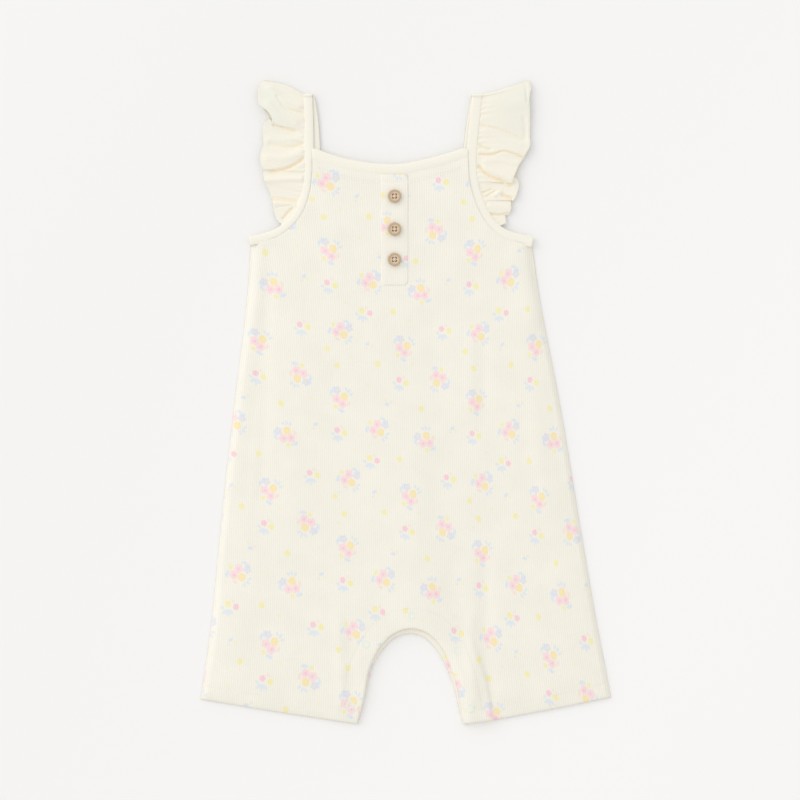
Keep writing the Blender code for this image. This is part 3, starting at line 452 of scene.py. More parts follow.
class RomperTrim(bpy.types.PropertyGroup):
    """Bindings, ruffles, buttons and snaps."""

    binding_colour: FloatVectorProperty(
        name="Binding colour", description="Folded bindings", default=(0.932, 0.895, 0.785), subtype="COLOR"
    )
    ruffle_colour: FloatVectorProperty(
        name="Ruffle colour", description="Gathered ruffles", default=(0.928, 0.886, 0.765), subtype="COLOR"
    )
    gathers: IntProperty(
        name="Gathers", description="Small gathers along each half of a ruffle's seam", default=25, min=0
    )
    wood_colour: FloatVectorProperty(
        name="Wood colour", description="Buttons", default=(0.80, 0.60, 0.40), subtype="COLOR"
    )
    thread_colour: FloatVectorProperty(
        name="Thread colour", description="Stitching", default=(0.93, 0.88, 0.79), subtype="COLOR"
    )
    snap_colour: FloatVectorProperty(
        name="Snap colour", description="Rings of the snaps", default=(0.845, 0.865, 0.775), subtype="COLOR"
    )


class RomperStage(bpy.types.PropertyGroup):
    """Floor, light and camera."""

    floor_colour: FloatVectorProperty(
        name="Floor colour", description="Plain floor", default=(0.93, 0.922, 0.908), subtype="COLOR"
    )
    key_power: FloatProperty(
        name="Key power", description="Lamp at the upper left, in watts", default=10.0, min=0.0
    )
    fill_strength: FloatProperty(
        name="Fill strength", description="Even light from all round", default=0.872, min=0.0
    )
    glow_strength: FloatProperty(
        name="Glow strength", description="Extra light from the upper left side", default=0.18, min=0.0
    )
    camera_height: FloatProperty(
        name="Camera height", description="Above the floor", default=1.4356, unit="LENGTH"
    )
    lens: FloatProperty(name="Lens", description="Focal length in millimetres", default=85.0, min=10.0)


# Lines


def distances_along(path):
    """How far along the line each of its points lies."""
    steps = np.linalg.norm(np.diff(path, axis=0), axis=1)
    return np.concatenate([[0.0], np.cumsum(steps)])


def values_at(wanted, reached, rows):
    """The rows' values at the wanted distances, where reached holds the distance of each row."""
    return np.stack([np.interp(wanted, reached, column) for column in rows.T], axis=-1)


def resample(path, count):
    """The same line as count points at even distances."""
    path = np.asarray(path, float)
    reached = distances_along(path)
    return values_at(np.linspace(0.0, reached[-1], count), reached, path)


def smooth_path(rows, count):
    """A smooth line through the rows, as count points at even distances."""
    rows = np.asarray(rows, float)
    knots = distances_along(rows)
    tangents = np.gradient(rows, knots, axis=0)
    parts = []
    for i, length in enumerate(np.diff(knots)):
        t = np.linspace(0.0, 1.0, SPAN_STEPS, endpoint=False)[:, None]
        parts.append(
            rows[i] * (2 * t**3 - 3 * t**2 + 1)
            + tangents[i] * length * (t**3 - 2 * t**2 + t)
            + rows[i + 1] * (3 * t**2 - 2 * t**3)
            + tangents[i + 1] * length * (t**3 - t**2)
        )
    parts.append(rows[-1:])
    return resample(np.concatenate(parts), count)


def left_normals(path):
    """The unit vector to the left of the line's run at each point."""
    run = np.gradient(path, axis=0)
    run /= np.linalg.norm(run, axis=1)[:, None]
    return np.stack([-run[:, 1], run[:, 0]], axis=1)


def offset_path(path, distance):
    return path + left_normals(path) * distance


def join_paths(*paths):
    pieces = [paths[0]] + [path[1:] for path in paths[1:]]
    return np.concatenate(pieces)


def length_of(path):
    return float(np.linalg.norm(np.diff(path, axis=0), axis=1).sum())


def point_along(path, share):
    """The points at these shares of the line's length."""
    reached = distances_along(path)
    return values_at(share * reached[-1], reached, path)


def distance_to(path, x, y):
    """How far each point lies from the line."""
    nearest = np.full(np.shape(x), np.inf)
    for start, end in zip(path[:-1], path[1:]):
        run = end - start
        share = ((x - start[0]) * run[0] + (y - start[1]) * run[1]) / (run @ run)
        share = np.clip(share, 0.0, 1.0)
        away = np.hypot(x - start[0] - share * run[0], y - start[1] - share * run[1])
        nearest = np.minimum(nearest, away)
    return nearest


def distance_to_any(lines, count, x, y):
    """How far each point lies from the nearest of the lines, each taken as count points."""
    return np.min([distance_to(resample(line, count), x, y) for line in lines], axis=0)


# Panels


def back_line(row, front_line, power=BACK_SWING_POWER):
    """The back binding's middle, which swings away from the front's between its two ends."""
    share = np.linspace(0.0, 1.0, len(front_line))
    swing = np.sin(math.pi * share) ** power
    return front_line + np.stack([row.back_shift * swing, np.zeros(len(swing))], axis=1)


def front_lines():
    return {row.side: smooth_path(row.centre_line, DENSE) for row in ARMHOLES}


def back_lines():
    lines = front_lines()
    return {row.side: back_line(row, lines[row.side]) for row in ARMHOLES}


def panel_edges(inseam, armhole_lines, neck_drop, side_inset, hem_inset, tuck):
    """A panel's edges, left to right or bottom to top; tuck runs it on under its bindings."""
    neck = smooth_path(NECK_LINE, DENSE)
    neck[:, 1] -= NECK_BINDING_WIDTH / 2 + GAP - tuck + neck_drop
    armhole = {}
    for row in ARMHOLES:
        line = offset_path(armhole_lines[row.side], -row.outward * (row.width / 2 + GAP - tuck))
        neck_height = np.interp(line[:, 0], neck[:, 0], neck[:, 1])
        beside_neck = (line[:, 1] > neck_height) & (np.abs(line[:, 0]) < NECK_HALF_REACH)
        armhole[row.side] = line[: int(np.argmax(beside_neck))]
    left_end = armhole["left"][-1]
    right_end = armhole["right"][-1]
    past_left = neck[:, 0] > left_end[0] + NECK_END_CLEARANCE
    before_right = neck[:, 0] < right_end[0] - NECK_END_CLEARANCE
    inset = np.array([side_inset, 0.0])
    lift = np.array([0.0, hem_inset])
    left_corner = np.array(LEFT_HEM[0]) + inset + lift
    right_corner = np.array(RIGHT_HEM[-1]) - inset + lift
    left_rows = [left_corner] + [np.array(p) + inset for p in LEFT_SIDE[1:]]
    right_rows = [right_corner] + [np.array(p) - inset for p in RIGHT_SIDE[1:]]
    left_hem = [left_corner] + [np.array(p) + lift for p in LEFT_HEM[1:-1]] + [inseam[0]]
    right_hem = [inseam[-1]] + [np.array(p) + lift for p in RIGHT_HEM[1:-1]] + [right_corner]
    return Edges(
        left_side=smooth_path(left_rows + [armhole["left"][0]], DENSE),
        right_side=smooth_path(right_rows + [armhole["right"][0]], DENSE),
        left_hem=smooth_path(left_hem, DENSE),
        right_hem=smooth_path(right_hem, DENSE),
        inseam=smooth_path(inseam, DENSE),
        armhole_left=armhole["left"],
        armhole_right=armhole["right"],
        neck=np.concatenate([[left_end], neck[past_left & before_right], [right_end]]),
    )


def front_edges(tuck=0.0):
    return panel_edges(FRONT_INSEAM, front_lines(), 0.0, 0.0, 0.0, tuck)


def back_edges(tuck=0.0):
    return panel_edges(
        BACK_INSEAM, back_lines(), BACK_NECK_DROP, BACK_SIDE_INSET, BACK_HEM_INSET, tuck
    )


def wale_spread(y, scale=1.0):
    """How wide the relaxed knit is for each millimetre across at this height."""
    return scale - CHEST_SPREAD * y - CHEST_SPREAD_SQUARED * y**2


def across_wales(x, y):
    """How far across the knit a place on the front lies, in its relaxed millimetres."""
    return x * wale_spread(y, WIDTH_SCALE) + WALE_LEAN * y + SIDE_CROWDING * x**2 + WIDTH_START


def along_wales(x, y):
    """How far down the knit it lies."""
    crowding = LENGTH_CROWDING * y**2 - LENGTH_CROWDING_GROWTH * y**3
    bow = (COURSE_BOW + COURSE_BOW_GROWTH * y) * x**2
    skew = LENGTH_SKEW * x * y
    pulled = sum(
        pull * np.exp(-((x - at_x) ** 2 + (y - at_y) ** 2) / (2 * reach**2))
        for at_x, at_y, pull, reach in PRINT_PULLS
    )
    return LENGTH_START - LENGTH_SCALE * y - COURSE_TILT * x - crowding + bow + skew + pulled


def rib_across(x, y):
    """How far across the ribs a place lies: they run a little straighter than the print."""
    return x * wale_spread(y) + RIB_LEAN * y + RIB_CROWDING * x**2


def place_across(across, y):
    """The x at which a rib passes the height y: rib_across the other way round."""
    spread = wale_spread(y)
    inside = spread**2 - 4 * RIB_CROWDING * (RIB_LEAN * y - across)
    return (np.sqrt(inside) - spread) / (2 * RIB_CROWDING)


EDGE_STEPS = np.array([0.0, 0.12, 0.35, 0.75, 1.3, 2.2])
SHORT_COLUMN = 40.0


def wale_grid(edges, spacing, rows):
    """Points of a panel in columns that follow the wales, each from its lower to its upper edge."""
    bottom = join_paths(edges.left_hem, edges.inseam, edges.right_hem)
    top = join_paths(
        edges.left_side,
        edges.armhole_left,
        edges.neck,
        edges.armhole_right[::-1],
        edges.right_side[::-1],
    )
    ramp = 1e-6
    bottom_across = np.maximum.accumulate(rib_across(*bottom.T)) + ramp * np.arange(len(bottom))
    top_across = np.maximum.accumulate(rib_across(*top.T)) + ramp * np.arange(len(top))
    first = max(bottom_across[0], top_across[0]) + spacing / 2
    last = min(bottom_across[-1], top_across[-1]) - spacing / 2
    count = int((last - first) / spacing)
    across = (np.arange(count) + math.ceil(first / spacing)) * spacing
    low = np.interp(across, bottom_across, bottom[:, 1])
    high = np.interp(across, top_across, top[:, 1])
    height = high - low
    near_edge = EDGE_STEPS[:, None] * np.minimum(1.0, height / SHORT_COLUMN)
    between = np.linspace(0.0, 1.0, rows - 2 * len(EDGE_STEPS) + 2)[1:-1, None]
    inner = near_edge[-1] + between * (height - 2 * near_edge[-1])
    up = np.concatenate([near_edge, inner, height - near_edge[::-1]])
    y = low + up
    x = place_across(np.broadcast_to(across, y.shape), y)
    return x, y, np.broadcast_to(across, y.shape)


def smooth_max(a, b):
    return 0.5 * (a + b + np.sqrt((a - b) ** 2 + LAYER_BLEND**2))


def crease_height(creases, x, y):
    """The height of folds, each along its line."""
    total = np.zeros(np.shape(x))
    for crease in creases:
        line = np.asarray(crease.line, float)
        if len(line) > 2:
            line = smooth_path(line, CREASE_POINTS)
        total += crease.height * np.exp(-((distance_to(line, x, y) / crease.width) ** 2))
    return total


def front_underside(edges, x, y):
    """Height of the front panel's underside, as in its solid."""
    sides = (edges.left_side, edges.right_side, edges.left_hem, edges.right_hem)
    inward = distance_to_any(sides, FORM_EDGE_POINTS, x, y)
    raised = 1 - (1 - np.minimum(1.0, inward / LOFT_REACH)) ** LOFT_POWER
    height = SIDE_REST + (CHEST_REST - SIDE_REST) * raised
    from_armhole = distance_to_any((edges.armhole_left, edges.armhole_right), FORM_EDGE_POINTS, x, y)
    from_inseam = distance_to(resample(edges.inseam, EDGE_POINTS), x, y) - FACING_WIDTH
    height = height + crease_height(FRONT_FOLDS, x, y) * raised
    height = smooth_max(height, CHEST_REST - LAYER_SLOPE * from_armhole)
    height = smooth_max(height, FACING_REST - LAYER_SLOPE * np.maximum(0.0, from_inseam))
    return np.maximum(height, SIDE_REST)


# Meshes


def frame_shift():
    """From the tables' zero to the frame's, in millimetres: the middle button gives it."""
    low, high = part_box("button_middle")
    middle = (low + high) / 2 / MM
    place = BUTTONS["middle"]
    return np.array([middle.x - place.x, middle.y - place.y, 0.0])


SHIFT = frame_shift()


def grid_faces(rows, columns, closed=False, start=0):
    """Quads of a grid whose points are stored row by row; closed joins its last column to its first."""
    j = np.arange(rows - 1)[:, None]
    i = np.arange(columns if closed else columns - 1)[None, :]
    right = (i + 1) % columns
    corners = [j * columns + i, j * columns + right, (j + 1) * columns + right, (j + 1) * columns + i]
    shape = (rows - 1, i.shape[1])
    return np.stack([np.broadcast_to(c, shape) for c in corners], -1).reshape(-1, 4) + start


def grid_rim(rows, columns):
    """The point numbers round a grid's border, counter-clockwise."""
    bottom = np.arange(columns)
    right = np.arange(1, rows) * columns + columns - 1
    top = (rows - 1) * columns + np.arange(columns - 2, -1, -1)
    left = np.arange(rows - 2, 0, -1) * columns
    return np.concatenate([bottom, right, top, left])


def slab(top, bottom):
    """(points, faces) of a closed sheet from the grids of its upper and lower sides."""
    rows, columns, _ = top.shape
    count = rows * columns
    rim = grid_rim(rows, columns)
    after = np.roll(rim, -1)
    faces = np.concatenate(
        [
            grid_faces(rows, columns),
            grid_faces(rows, columns, start=count)[:, ::-1],
            np.stack([rim + count, after + count, after, rim], axis=1),
        ]
    )
    return np.concatenate([top.reshape(-1, 3), bottom.reshape(-1, 3)]), faces


TINY = 1e-9


def tube_along(path, radius, sides):
    """(points, faces) of a round thread along a path of points, with closed ends."""
    run = np.gradient(path, axis=0)
    run /= np.maximum(np.linalg.norm(run, axis=1), TINY)[:, None]
    side = np.cross(run, [0.0, 0.0, 1.0])
    side /= np.maximum(np.linalg.norm(side, axis=1), TINY)[:, None]
    up = np.cross(side, run)
    angles = np.linspace(0.0, math.tau, sides, endpoint=False)[None, :, None]
    ring = side[:, None, :] * np.cos(angles) + up[:, None, :] * np.sin(angles)
    points = path[:, None, :] + ring * radius
    rows = len(path)
    faces = grid_faces(rows, sides, closed=True).tolist()
    faces.append(list(range(sides))[::-1])
    faces.append([(rows - 1) * sides + i for i in range(sides)])
    return points.reshape(-1, 3), faces


def mesh_object(name, points, faces, material, values):
    """A piece of the romper from points in millimetres; values are named vectors, one for each point."""
    mesh = bpy.data.meshes.new(name)
    faces = faces if isinstance(faces, list) else faces.tolist()
    mesh.from_pydata(((np.asarray(points) + SHIFT) * MM).tolist(), [], faces)
    mesh.materials.append(material)
    for label, vectors in values.items():
        attribute = mesh.attributes.new(label, "FLOAT_VECTOR", "POINT")
        attribute.data.foreach_set("vector", np.ascontiguousarray(vectors, np.float32).ravel())
    mesh.shade_smooth()
    made = bpy.data.objects.new(name, mesh)
    bpy.context.scene.collection.objects.link(made)
    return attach(made, BODY)


def turned_outward(made):
    """Makes a closed piece's faces look outward."""
    bm = bmesh.new()
    bm.from_mesh(made.data)
    bmesh.ops.recalc_face_normals(bm, faces=bm.faces)
    bm.to_mesh(made.data)
    bm.free()
    return made


# Material nodes


def new_material(name):
    made = bpy.data.materials.new(name)
    made.use_nodes = True
    shader = made.node_tree.nodes["Principled BSDF"]
    shader.inputs["Metallic"].default_value = 0.0
    return made, made.node_tree, shader


def set_inputs(target, values):
    """Sets a node's inputs by name."""
    for name, value in values.items():
        target.inputs[name].default_value = value


def node(tree, kind, **settings):
    made = tree.nodes.new(kind)
    for name, value in settings.items():
        setattr(made, name, value)
    return made


def feed(tree, target, value):
    """Links the value if it is a socket, or else sets it."""
    if isinstance(value, bpy.types.NodeSocket):
        tree.links.new(value, target)
    else:
        target.default_value = value


def calculate(tree, operation, a, b=0.0, c=0.0):
    made = node(tree, "ShaderNodeMath", operation=operation)
    for target, value in zip(made.inputs, (a, b, c)):
        feed(tree, target, value)
    return made.outputs[0]


def vector_math(tree, operation, a, b=None):
    made = node(tree, "ShaderNodeVectorMath", operation=operation)
    feed(tree, made.inputs[0], a)
    if b is not None:
        feed(tree, made.inputs[1], b)
    return made.outputs["Value"] if operation in ("LENGTH", "DOT_PRODUCT") else made.outputs[0]


def ramp_between(tree, value, low, high, from_value=0.0, to_value=1.0):
    made = node(tree, "ShaderNodeMapRange", interpolation_type="SMOOTHSTEP")
    for name, given in (
        ("Value", value),
        ("From Min", low),
        ("From Max", high),
        ("To Min", from_value),
        ("To Max", to_value),
    ):
        feed(tree, made.inputs[name], given)
    return made.outputs["Result"]


def blend_colours(tree, share, under, over, blend_type="MIX"):
    made = node(tree, "ShaderNodeMix", data_type="RGBA", blend_type=blend_type)
    feed(tree, made.inputs["Factor"], share)
    feed(tree, made.inputs["A"], under)
    feed(tree, made.inputs["B"], over)
    return made.outputs["Result"]


def stored(tree, label):
    return node(tree, "ShaderNodeAttribute", attribute_name=label).outputs["Vector"]


def split(tree, vector):
    """The vector's parts, by axis."""
    made = node(tree, "ShaderNodeSeparateXYZ")
    feed(tree, made.inputs[0], vector)
    return made.outputs


def joined(tree, x, y, z=0.0):
    """A vector from its parts."""
    made = node(tree, "ShaderNodeCombineXYZ")
    for axis, value in zip("XYZ", (x, y, z)):
        feed(tree, made.inputs[axis], value)
    return made.outputs[0]


def noise(tree, place, scale, detail):
    made = node(tree, "ShaderNodeTexNoise")
    feed(tree, made.inputs["Vector"], place)
    set_inputs(made, {"Scale": scale, "Detail": detail})
    return made.outputs["Fac"]


def shaded(tree, colour, value):
    """The colour, made lighter or darker by the value."""
    return blend_colours(tree, 1.0, colour, joined(tree, value, value, value), "MULTIPLY")


def roughened(tree, shader, height, strength, distance):
    """Gives a surface a fine relief."""
    bump = node(tree, "ShaderNodeBump")
    set_inputs(bump, {"Strength": strength, "Distance": distance * MM})
    feed(tree, bump.inputs["Height"], height)
    feed(tree, shader.inputs["Normal"], bump.outputs["Normal"])


def solid_colour(colour):
    return (*colour[:3], 1.0)


def get_material(name, make):
    found = bpy.data.materials.get(name)
    return found if found is not None else make(name)


# The print


INK_EDGE = 0.54  # millimetres over which a printed edge fades
ALL_NEAR = 0.999  # where every corner of a face is near the motif


def inside(tree, away, radius):
    """1 where away, as a share of the radius, is inside a shape, with a soft edge."""
    edge = INK_EDGE / radius
    return ramp_between(tree, away, 1 + edge, 1 - edge)


def ellipse_mask(tree, place, leaf):
    """1 inside a leaf or petal and 0 outside it."""
    moved = node(tree, "ShaderNodeMapping", vector_type="TEXTURE")
    feed(tree, moved.inputs["Vector"], place)
    turn = (0.0, 0.0, math.radians(leaf.turn))
    set_inputs(
        moved,
        {"Location": (leaf.x, leaf.y, 0.0), "Rotation": turn, "Scale": (leaf.long, leaf.wide, 1.0)},
    )
    away = vector_math(tree, "LENGTH", moved.outputs["Vector"])
    return inside(tree, away, min(leaf.long, leaf.wide))


def flower_mask(tree, place, bloom):
    """1 inside a round flower with petals and 0 outside it."""
    local = vector_math(tree, "SUBTRACT", place, (bloom.x, bloom.y, 0.0))
    parts = split(tree, local)
    angle = calculate(tree, "ARCTAN2", parts["Y"], parts["X"])
    angle = calculate(tree, "MULTIPLY_ADD", angle, float(bloom.petals), math.radians(bloom.turn))
    lobes = calculate(tree, "COSINE", angle)
    reach = calculate(tree, "MULTIPLY_ADD", lobes, bloom.lobe * bloom.radius, bloom.radius)
    away = calculate(tree, "DIVIDE", vector_math(tree, "LENGTH", local), reach)
    return inside(tree, away, bloom.radius)


def motif_places(across, along):
    """For each kind of motif, where each point lies from the nearest one: (x, y, 1 if it is near)."""
    inks = bpy.context.scene.romper_print
    width = inks.repeat_width / MM
    height = inks.repeat_height / MM
    share_across = across / width + PRINT_START[0]
    share_down = along / height + PRINT_START[1]
    found = {}
    for kind, (sites, _) in DRAWN.items():
        best = np.full(across.shape, np.inf)
        local = np.zeros((*across.shape, 3))
        for site_across, site_down, site_turn in sites:
            x = ((share_across - site_across + 0.5) % 1.0 - 0.5) * width / MOTIF_NARROWING
            y = -((share_down - site_down + 0.5) % 1.0 - 0.5) * height / MOTIF_LENGTHENING
            away = np.hypot(x, y)
            nearer = away < best
            best = np.where(nearer, away, best)
            turn = math.radians(site_turn)
            turned_x = x * math.cos(turn) + y * math.sin(turn)
            turned_y = y * math.cos(turn) - x * math.sin(turn)
            near = (away < MOTIF_REACH[kind] + MOTIF_MARGIN).astype(float)
            here = np.stack([turned_x, turned_y, near], axis=-1)
            local = np.where(nearer[..., None], here, local)
        found[kind] = local.reshape(-1, 3)
    return found


def knit_values(ribs, across, along, edge_shade):
    """At each point of a printed piece: its place on the cloth, how much painted edge shade it gets, and
    its motifs.
    """
    values = {"cloth": np.stack([ribs, along, edge_shade + 0 * along], axis=-1)}
    values.update(motif_places(across, along))
    return values


def printed_colour(tree, ground, cover):
    """The ground colour with the whole print on it; cover is where the ink takes."""
    inks = bpy.context.scene.romper_print
    colour = ground
    for kind, (_, shapes) in DRAWN.items():
        parts = split(tree, stored(tree, kind))
        near = calculate(tree, "GREATER_THAN", parts["Z"], ALL_NEAR)
        place = joined(tree, parts["X"], parts["Y"])
        strength = calculate(tree, "MULTIPLY", near, cover)
        for shape in shapes:
            draw = ellipse_mask if isinstance(shape, Leaf) else flower_mask
            share = calculate(tree, "MULTIPLY", draw(tree, place, shape), strength)
            share = calculate(tree, "MULTIPLY", share, shape.cover * inks.strength)
            colour = blend_colours(tree, share, colour, solid_colour(getattr(inks, shape.ink)))
    return colour


# Materials


# Each is a range of a value, and what it turns into over that range: 0 to 1 if no more is given
RIDGE = (0.5, 0.18)
RIDGE_INK = (0.5, 0.2, 0.45, 1.0)
YARN_INK = (0.25, 0.6, 0.72, 1.0)
YARN_LIGHT = (0.3, 0.7, 0.975, 1.015)
CLOUD_LIGHT = (0.3, 0.7, 0.985, 1.01)
FURROW_SHADE = (0.955, 0.945, 0.92)
# Painted shade: a brownish darkening of the knit along its hem, inseam and facing edges, and on the side
# rims
EDGE_SHADE = 0.30
EDGE_SHADE_COLOUR = (0.62, 0.46, 0.34)
STITCH_ROW = 1.15
STITCH_SLANT = 5.0
YARN_RELIEF = 0.5
STITCH_RELIEF = 0.35


def knit_material(name):
    """Rib knit: fine wales and stitches, faint unevenness of the yarn, and the print on its ridges."""
    cloth = bpy.context.scene.romper_cloth
    made, tree, shader = new_material(name)
    place = stored(tree, "cloth")
    parts = split(tree, place)
    wale = calculate(tree, "FRACT", calculate(tree, "DIVIDE", parts["X"], cloth.rib_pitch / MM))
    from_ridge = calculate(tree, "ABSOLUTE", calculate(tree, "SUBTRACT", wale, 0.5))
    yarn = noise(tree, place, scale=1.3, detail=3.0)
    cloudy = noise(tree, place, scale=0.045, detail=2.0)
    # Painted shade: the furrows between the ribs are coloured darker than the ribs
    furrow = solid_colour([value * painted_shade for value, painted_shade in zip(cloth.colour, FURROW_SHADE)])
    ridge = ramp_between(tree, from_ridge, *RIDGE)
    ground = blend_colours(tree, ridge, furrow, solid_colour(cloth.colour))
    takes = ramp_between(tree, from_ridge, *RIDGE_INK)
    mottle = ramp_between(tree, yarn, *YARN_INK)
    ground = printed_colour(tree, ground, calculate(tree, "MULTIPLY", takes, mottle))
    light = ramp_between(tree, yarn, *YARN_LIGHT)
    broad = ramp_between(tree, cloudy, *CLOUD_LIGHT)
    ground = shaded(tree, ground, calculate(tree, "MULTIPLY", light, broad))
    # painted edge shade, carried in the third part of the cloth attribute
    edge_shade = calculate(tree, "MULTIPLY", parts["Z"], EDGE_SHADE)
    ground = blend_colours(tree, edge_shade, ground, solid_colour(EDGE_SHADE_COLOUR))
    feed(tree, shader.inputs["Base Color"], ground)
    stitch_row = calculate(tree, "MULTIPLY", parts["Y"], math.tau / STITCH_ROW)
    slanted = calculate(tree, "MULTIPLY_ADD", from_ridge, STITCH_SLANT, stitch_row)
    stitch = calculate(tree, "MULTIPLY", calculate(tree, "SINE", slanted), STITCH_RELIEF)
    height = calculate(tree, "MULTIPLY_ADD", yarn, YARN_RELIEF, stitch)
    roughened(tree, shader, height, strength=0.35, distance=0.10)
    set_inputs(shader, {"Roughness": 0.92, "Specular IOR Level": 0.18})
    set_inputs(shader, {"Sheen Weight": cloth.fuzz, "Sheen Roughness": 0.6})
    return made


# Painted shade in the ruffles: warm in their creases, cool grey high on their fronts
CREASE_SHADE = 0.42
CREASE_SHADE_COLOUR = (1.0, 0.80, 0.50)
TOP_SHADE = 0.6
TOP_SHADE_COLOUR = (0.83, 0.85, 0.76)
WEAVE_LIGHT = (0.3, 0.7, 0.975, 1.01)
WEAVE_RELIEF = 0.6


def plain_cloth_material(name, colour, weave, depth):
    """Smooth cream cloth with a fine weave, for bindings and ruffles, with painted warm shade in the
    ruffles' creases and painted cool shade high on their fronts.
    """
    made, tree, shader = new_material(name)
    place = stored(tree, "cloth")
    parts = split(tree, place)
    yarn = noise(tree, place, scale=0.9, detail=4.0)
    ground = shaded(tree, solid_colour(colour), ramp_between(tree, yarn, *WEAVE_LIGHT))
    # painted warm shade in the creases, then painted cool shade high on the ruffles' fronts
    for painted_shade, painted_shade_colour in ((CREASE_SHADE, CREASE_SHADE_COLOUR), (-TOP_SHADE, TOP_SHADE_COLOUR)):
        share = calculate(tree, "MAXIMUM", calculate(tree, "MULTIPLY", parts["Z"], painted_shade), 0.0)
        ground = blend_colours(tree, share, ground, solid_colour(painted_shade_colour))
    feed(tree, shader.inputs["Base Color"], ground)
    warp = calculate(tree, "SINE", calculate(tree, "MULTIPLY", parts["X"], math.tau / weave))
    weft = calculate(tree, "SINE", calculate(tree, "MULTIPLY", parts["Y"], math.tau / weave))
    woven = calculate(tree, "MULTIPLY", warp, weft)
    height = calculate(tree, "MULTIPLY_ADD", yarn, WEAVE_RELIEF, woven)
    roughened(tree, shader, height, strength=0.3, distance=depth)
    set_inputs(shader, {"Roughness": 0.9, "Specular IOR Level": 0.2})
    set_inputs(shader, {"Sheen Weight": 0.12, "Sheen Roughness": 0.55})
    return made


WOOD_SHADE = 0.62
WOOD_GRAIN = (0.35, 0.7, 0.0, 0.55)
WOOD_RIM = (0.0, 0.5, 0.0, 0.75)
HOLE_SHADE = (0.6, 0.95)
GRAIN_TURN = 28.0
GRAIN_STRETCH = (0.35, 2.6, 1.0)
HOLE_SHADE_COLOUR = (0.05, 0.03, 0.02)


def button_wood_material(name):
    """Light wood with a darker rim, and painted shade inside the holes."""
    trim = bpy.context.scene.romper_trim
    made, tree, shader = new_material(name)
    place = stored(tree, "cloth")
    depth = split(tree, place)["Z"]
    stretched = node(tree, "ShaderNodeMapping")
    feed(tree, stretched.inputs["Vector"], place)
    set_inputs(stretched, {"Rotation": (0.0, 0.0, math.radians(GRAIN_TURN)), "Scale": GRAIN_STRETCH})
    grain = noise(tree, stretched.outputs["Vector"], scale=1.6, detail=5.0)
    dark = solid_colour([value * WOOD_SHADE for value in trim.wood_colour])
    share = ramp_between(tree, grain, *WOOD_GRAIN)
    colour = blend_colours(tree, share, solid_colour(trim.wood_colour), dark)
    rim = ramp_between(tree, depth, *WOOD_RIM)
    colour = blend_colours(tree, rim, colour, dark)
    # painted shade: near black inside the shallow holes
    hole_shade = ramp_between(tree, depth, *HOLE_SHADE)
    colour = blend_colours(tree, hole_shade, colour, solid_colour(HOLE_SHADE_COLOUR))
    feed(tree, shader.inputs["Base Color"], colour)
    set_inputs(shader, {"Roughness": 0.45, "Specular IOR Level": 0.35})
    return made


def plain_material(name, colour, roughness, specular):
    made, _, shader = new_material(name)
    values = {"Base Color": solid_colour(colour), "Roughness": roughness, "Specular IOR Level": specular}
    set_inputs(shader, values)
    return made


def panel_material():
    return get_material("printed_rib_knit", knit_material)


def wood_material():
    return get_material("light_wood", button_wood_material)


def binding_material():
    trim = bpy.context.scene.romper_trim
    return get_material(
        "cream_binding", lambda name: plain_cloth_material(name, trim.binding_colour, 0.9, 0.08)
    )


def ruffle_material():
    trim = bpy.context.scene.romper_trim
    return get_material(
        "cream_ruffle", lambda name: plain_cloth_material(name, trim.ruffle_colour, 0.7, 0.06)
    )


def thread_material():
    trim = bpy.context.scene.romper_trim
    return get_material("thread", lambda name: plain_material(name, trim.thread_colour, 0.85, 0.2))


def snap_material():
    trim = bpy.context.scene.romper_trim
    return get_material("snap_ring", lambda name: plain_material(name, trim.snap_colour, 0.8, 0.2))


# Panels' cloth


SIDE_STRIP = (2.0, 1.3, 0.8, 0.45, 0.2, 0.06, 0.0)  # the rim's rows, as distances inside the seam
SIDE_FOOT = 0.1
STRIP_POINTS = 500
# painted shade on the side rims, which round down to the floor
RIM_SHADE = 0.16
STRIP_SINK = 0.12  # the strip starts this far down among the ribs
STRIP_LIFT = 0.02
SEAM_RIDGE = 0.12
SEAM_RIDGE_INSIDE = 3.2
SEAM_RIDGE_WIDTH = 2.2
SIDE_SEAM_HEIGHT = 0.25
LEFT_SLOPE = 6.6
RIGHT_SLOPE = 4.6
CHEST_SLOPE = 2.6  # is added to these on the chest
CHEST_SLOPE_FROM = 30.0
CHEST_SLOPE_RUN = 90.0
CREASE_FADE = 8.0
CREASE_SHARE_AT_EDGE = 0.25
HEM_ROLL_LEFT = 3.4
HEM_ROLL_RIGHT = 2.0
HEM_HEIGHT = 0.7
INSEAM_ROLL = 1.5
INSEAM_HEIGHT = FACING_REST - GAP + 0.1
LEG_INSEAM_HEIGHT = 1.5
INSEAM_RISES = (-218.0, -192.0)  # between the leg and the arch
FACING_STEP = 2.3  # the folded layers lift the cloth over the facing on the right leg
FACING_STEP_AT_ARCH = 0.25  # of the step on the leg
FACING_STEP_RISES = (-205.0, -170.0)
FACING_STEP_FROM = 12.0
FACING_STEP_RUN = 24.0
FACING_STEP_WIDTH = 1.9
FACING_STEP_INSIDE = 6.0
FACING_STEP_OUTSIDE = 7.0
HEM_STITCH = 11.0
NECK_STITCH = 5.4
STITCH_WIDTH = 0.9
STITCH_DEPTH = 0.22
INSEAM_STITCH_SHARE = 0.7  # of the depth of the other stitching
RIB_FULLNESS = 2.2
NECK_RIB_RUN = 2.0
RIB_FADE_AT_SIDE = 3.0
RIB_FADE_AT_HEM = 1.5
RIB_SHARE_AT_NECK = 0.35
TUCK = 1.6
HEM_CLOTH = 0.12
HEM_TURN = 3.0
EDGE_SHADE_WIDTH = 0.55
FRONT_ROWS = 112
SAMPLES_PER_RIB = 4


def rolled(height, low, distance, radius):
    """The height near an edge that rounds down to low."""
    share = np.clip(distance / radius, 0.0, 1.0)
    return low + (height - low) * np.sqrt(1 - (1 - share) ** 2)


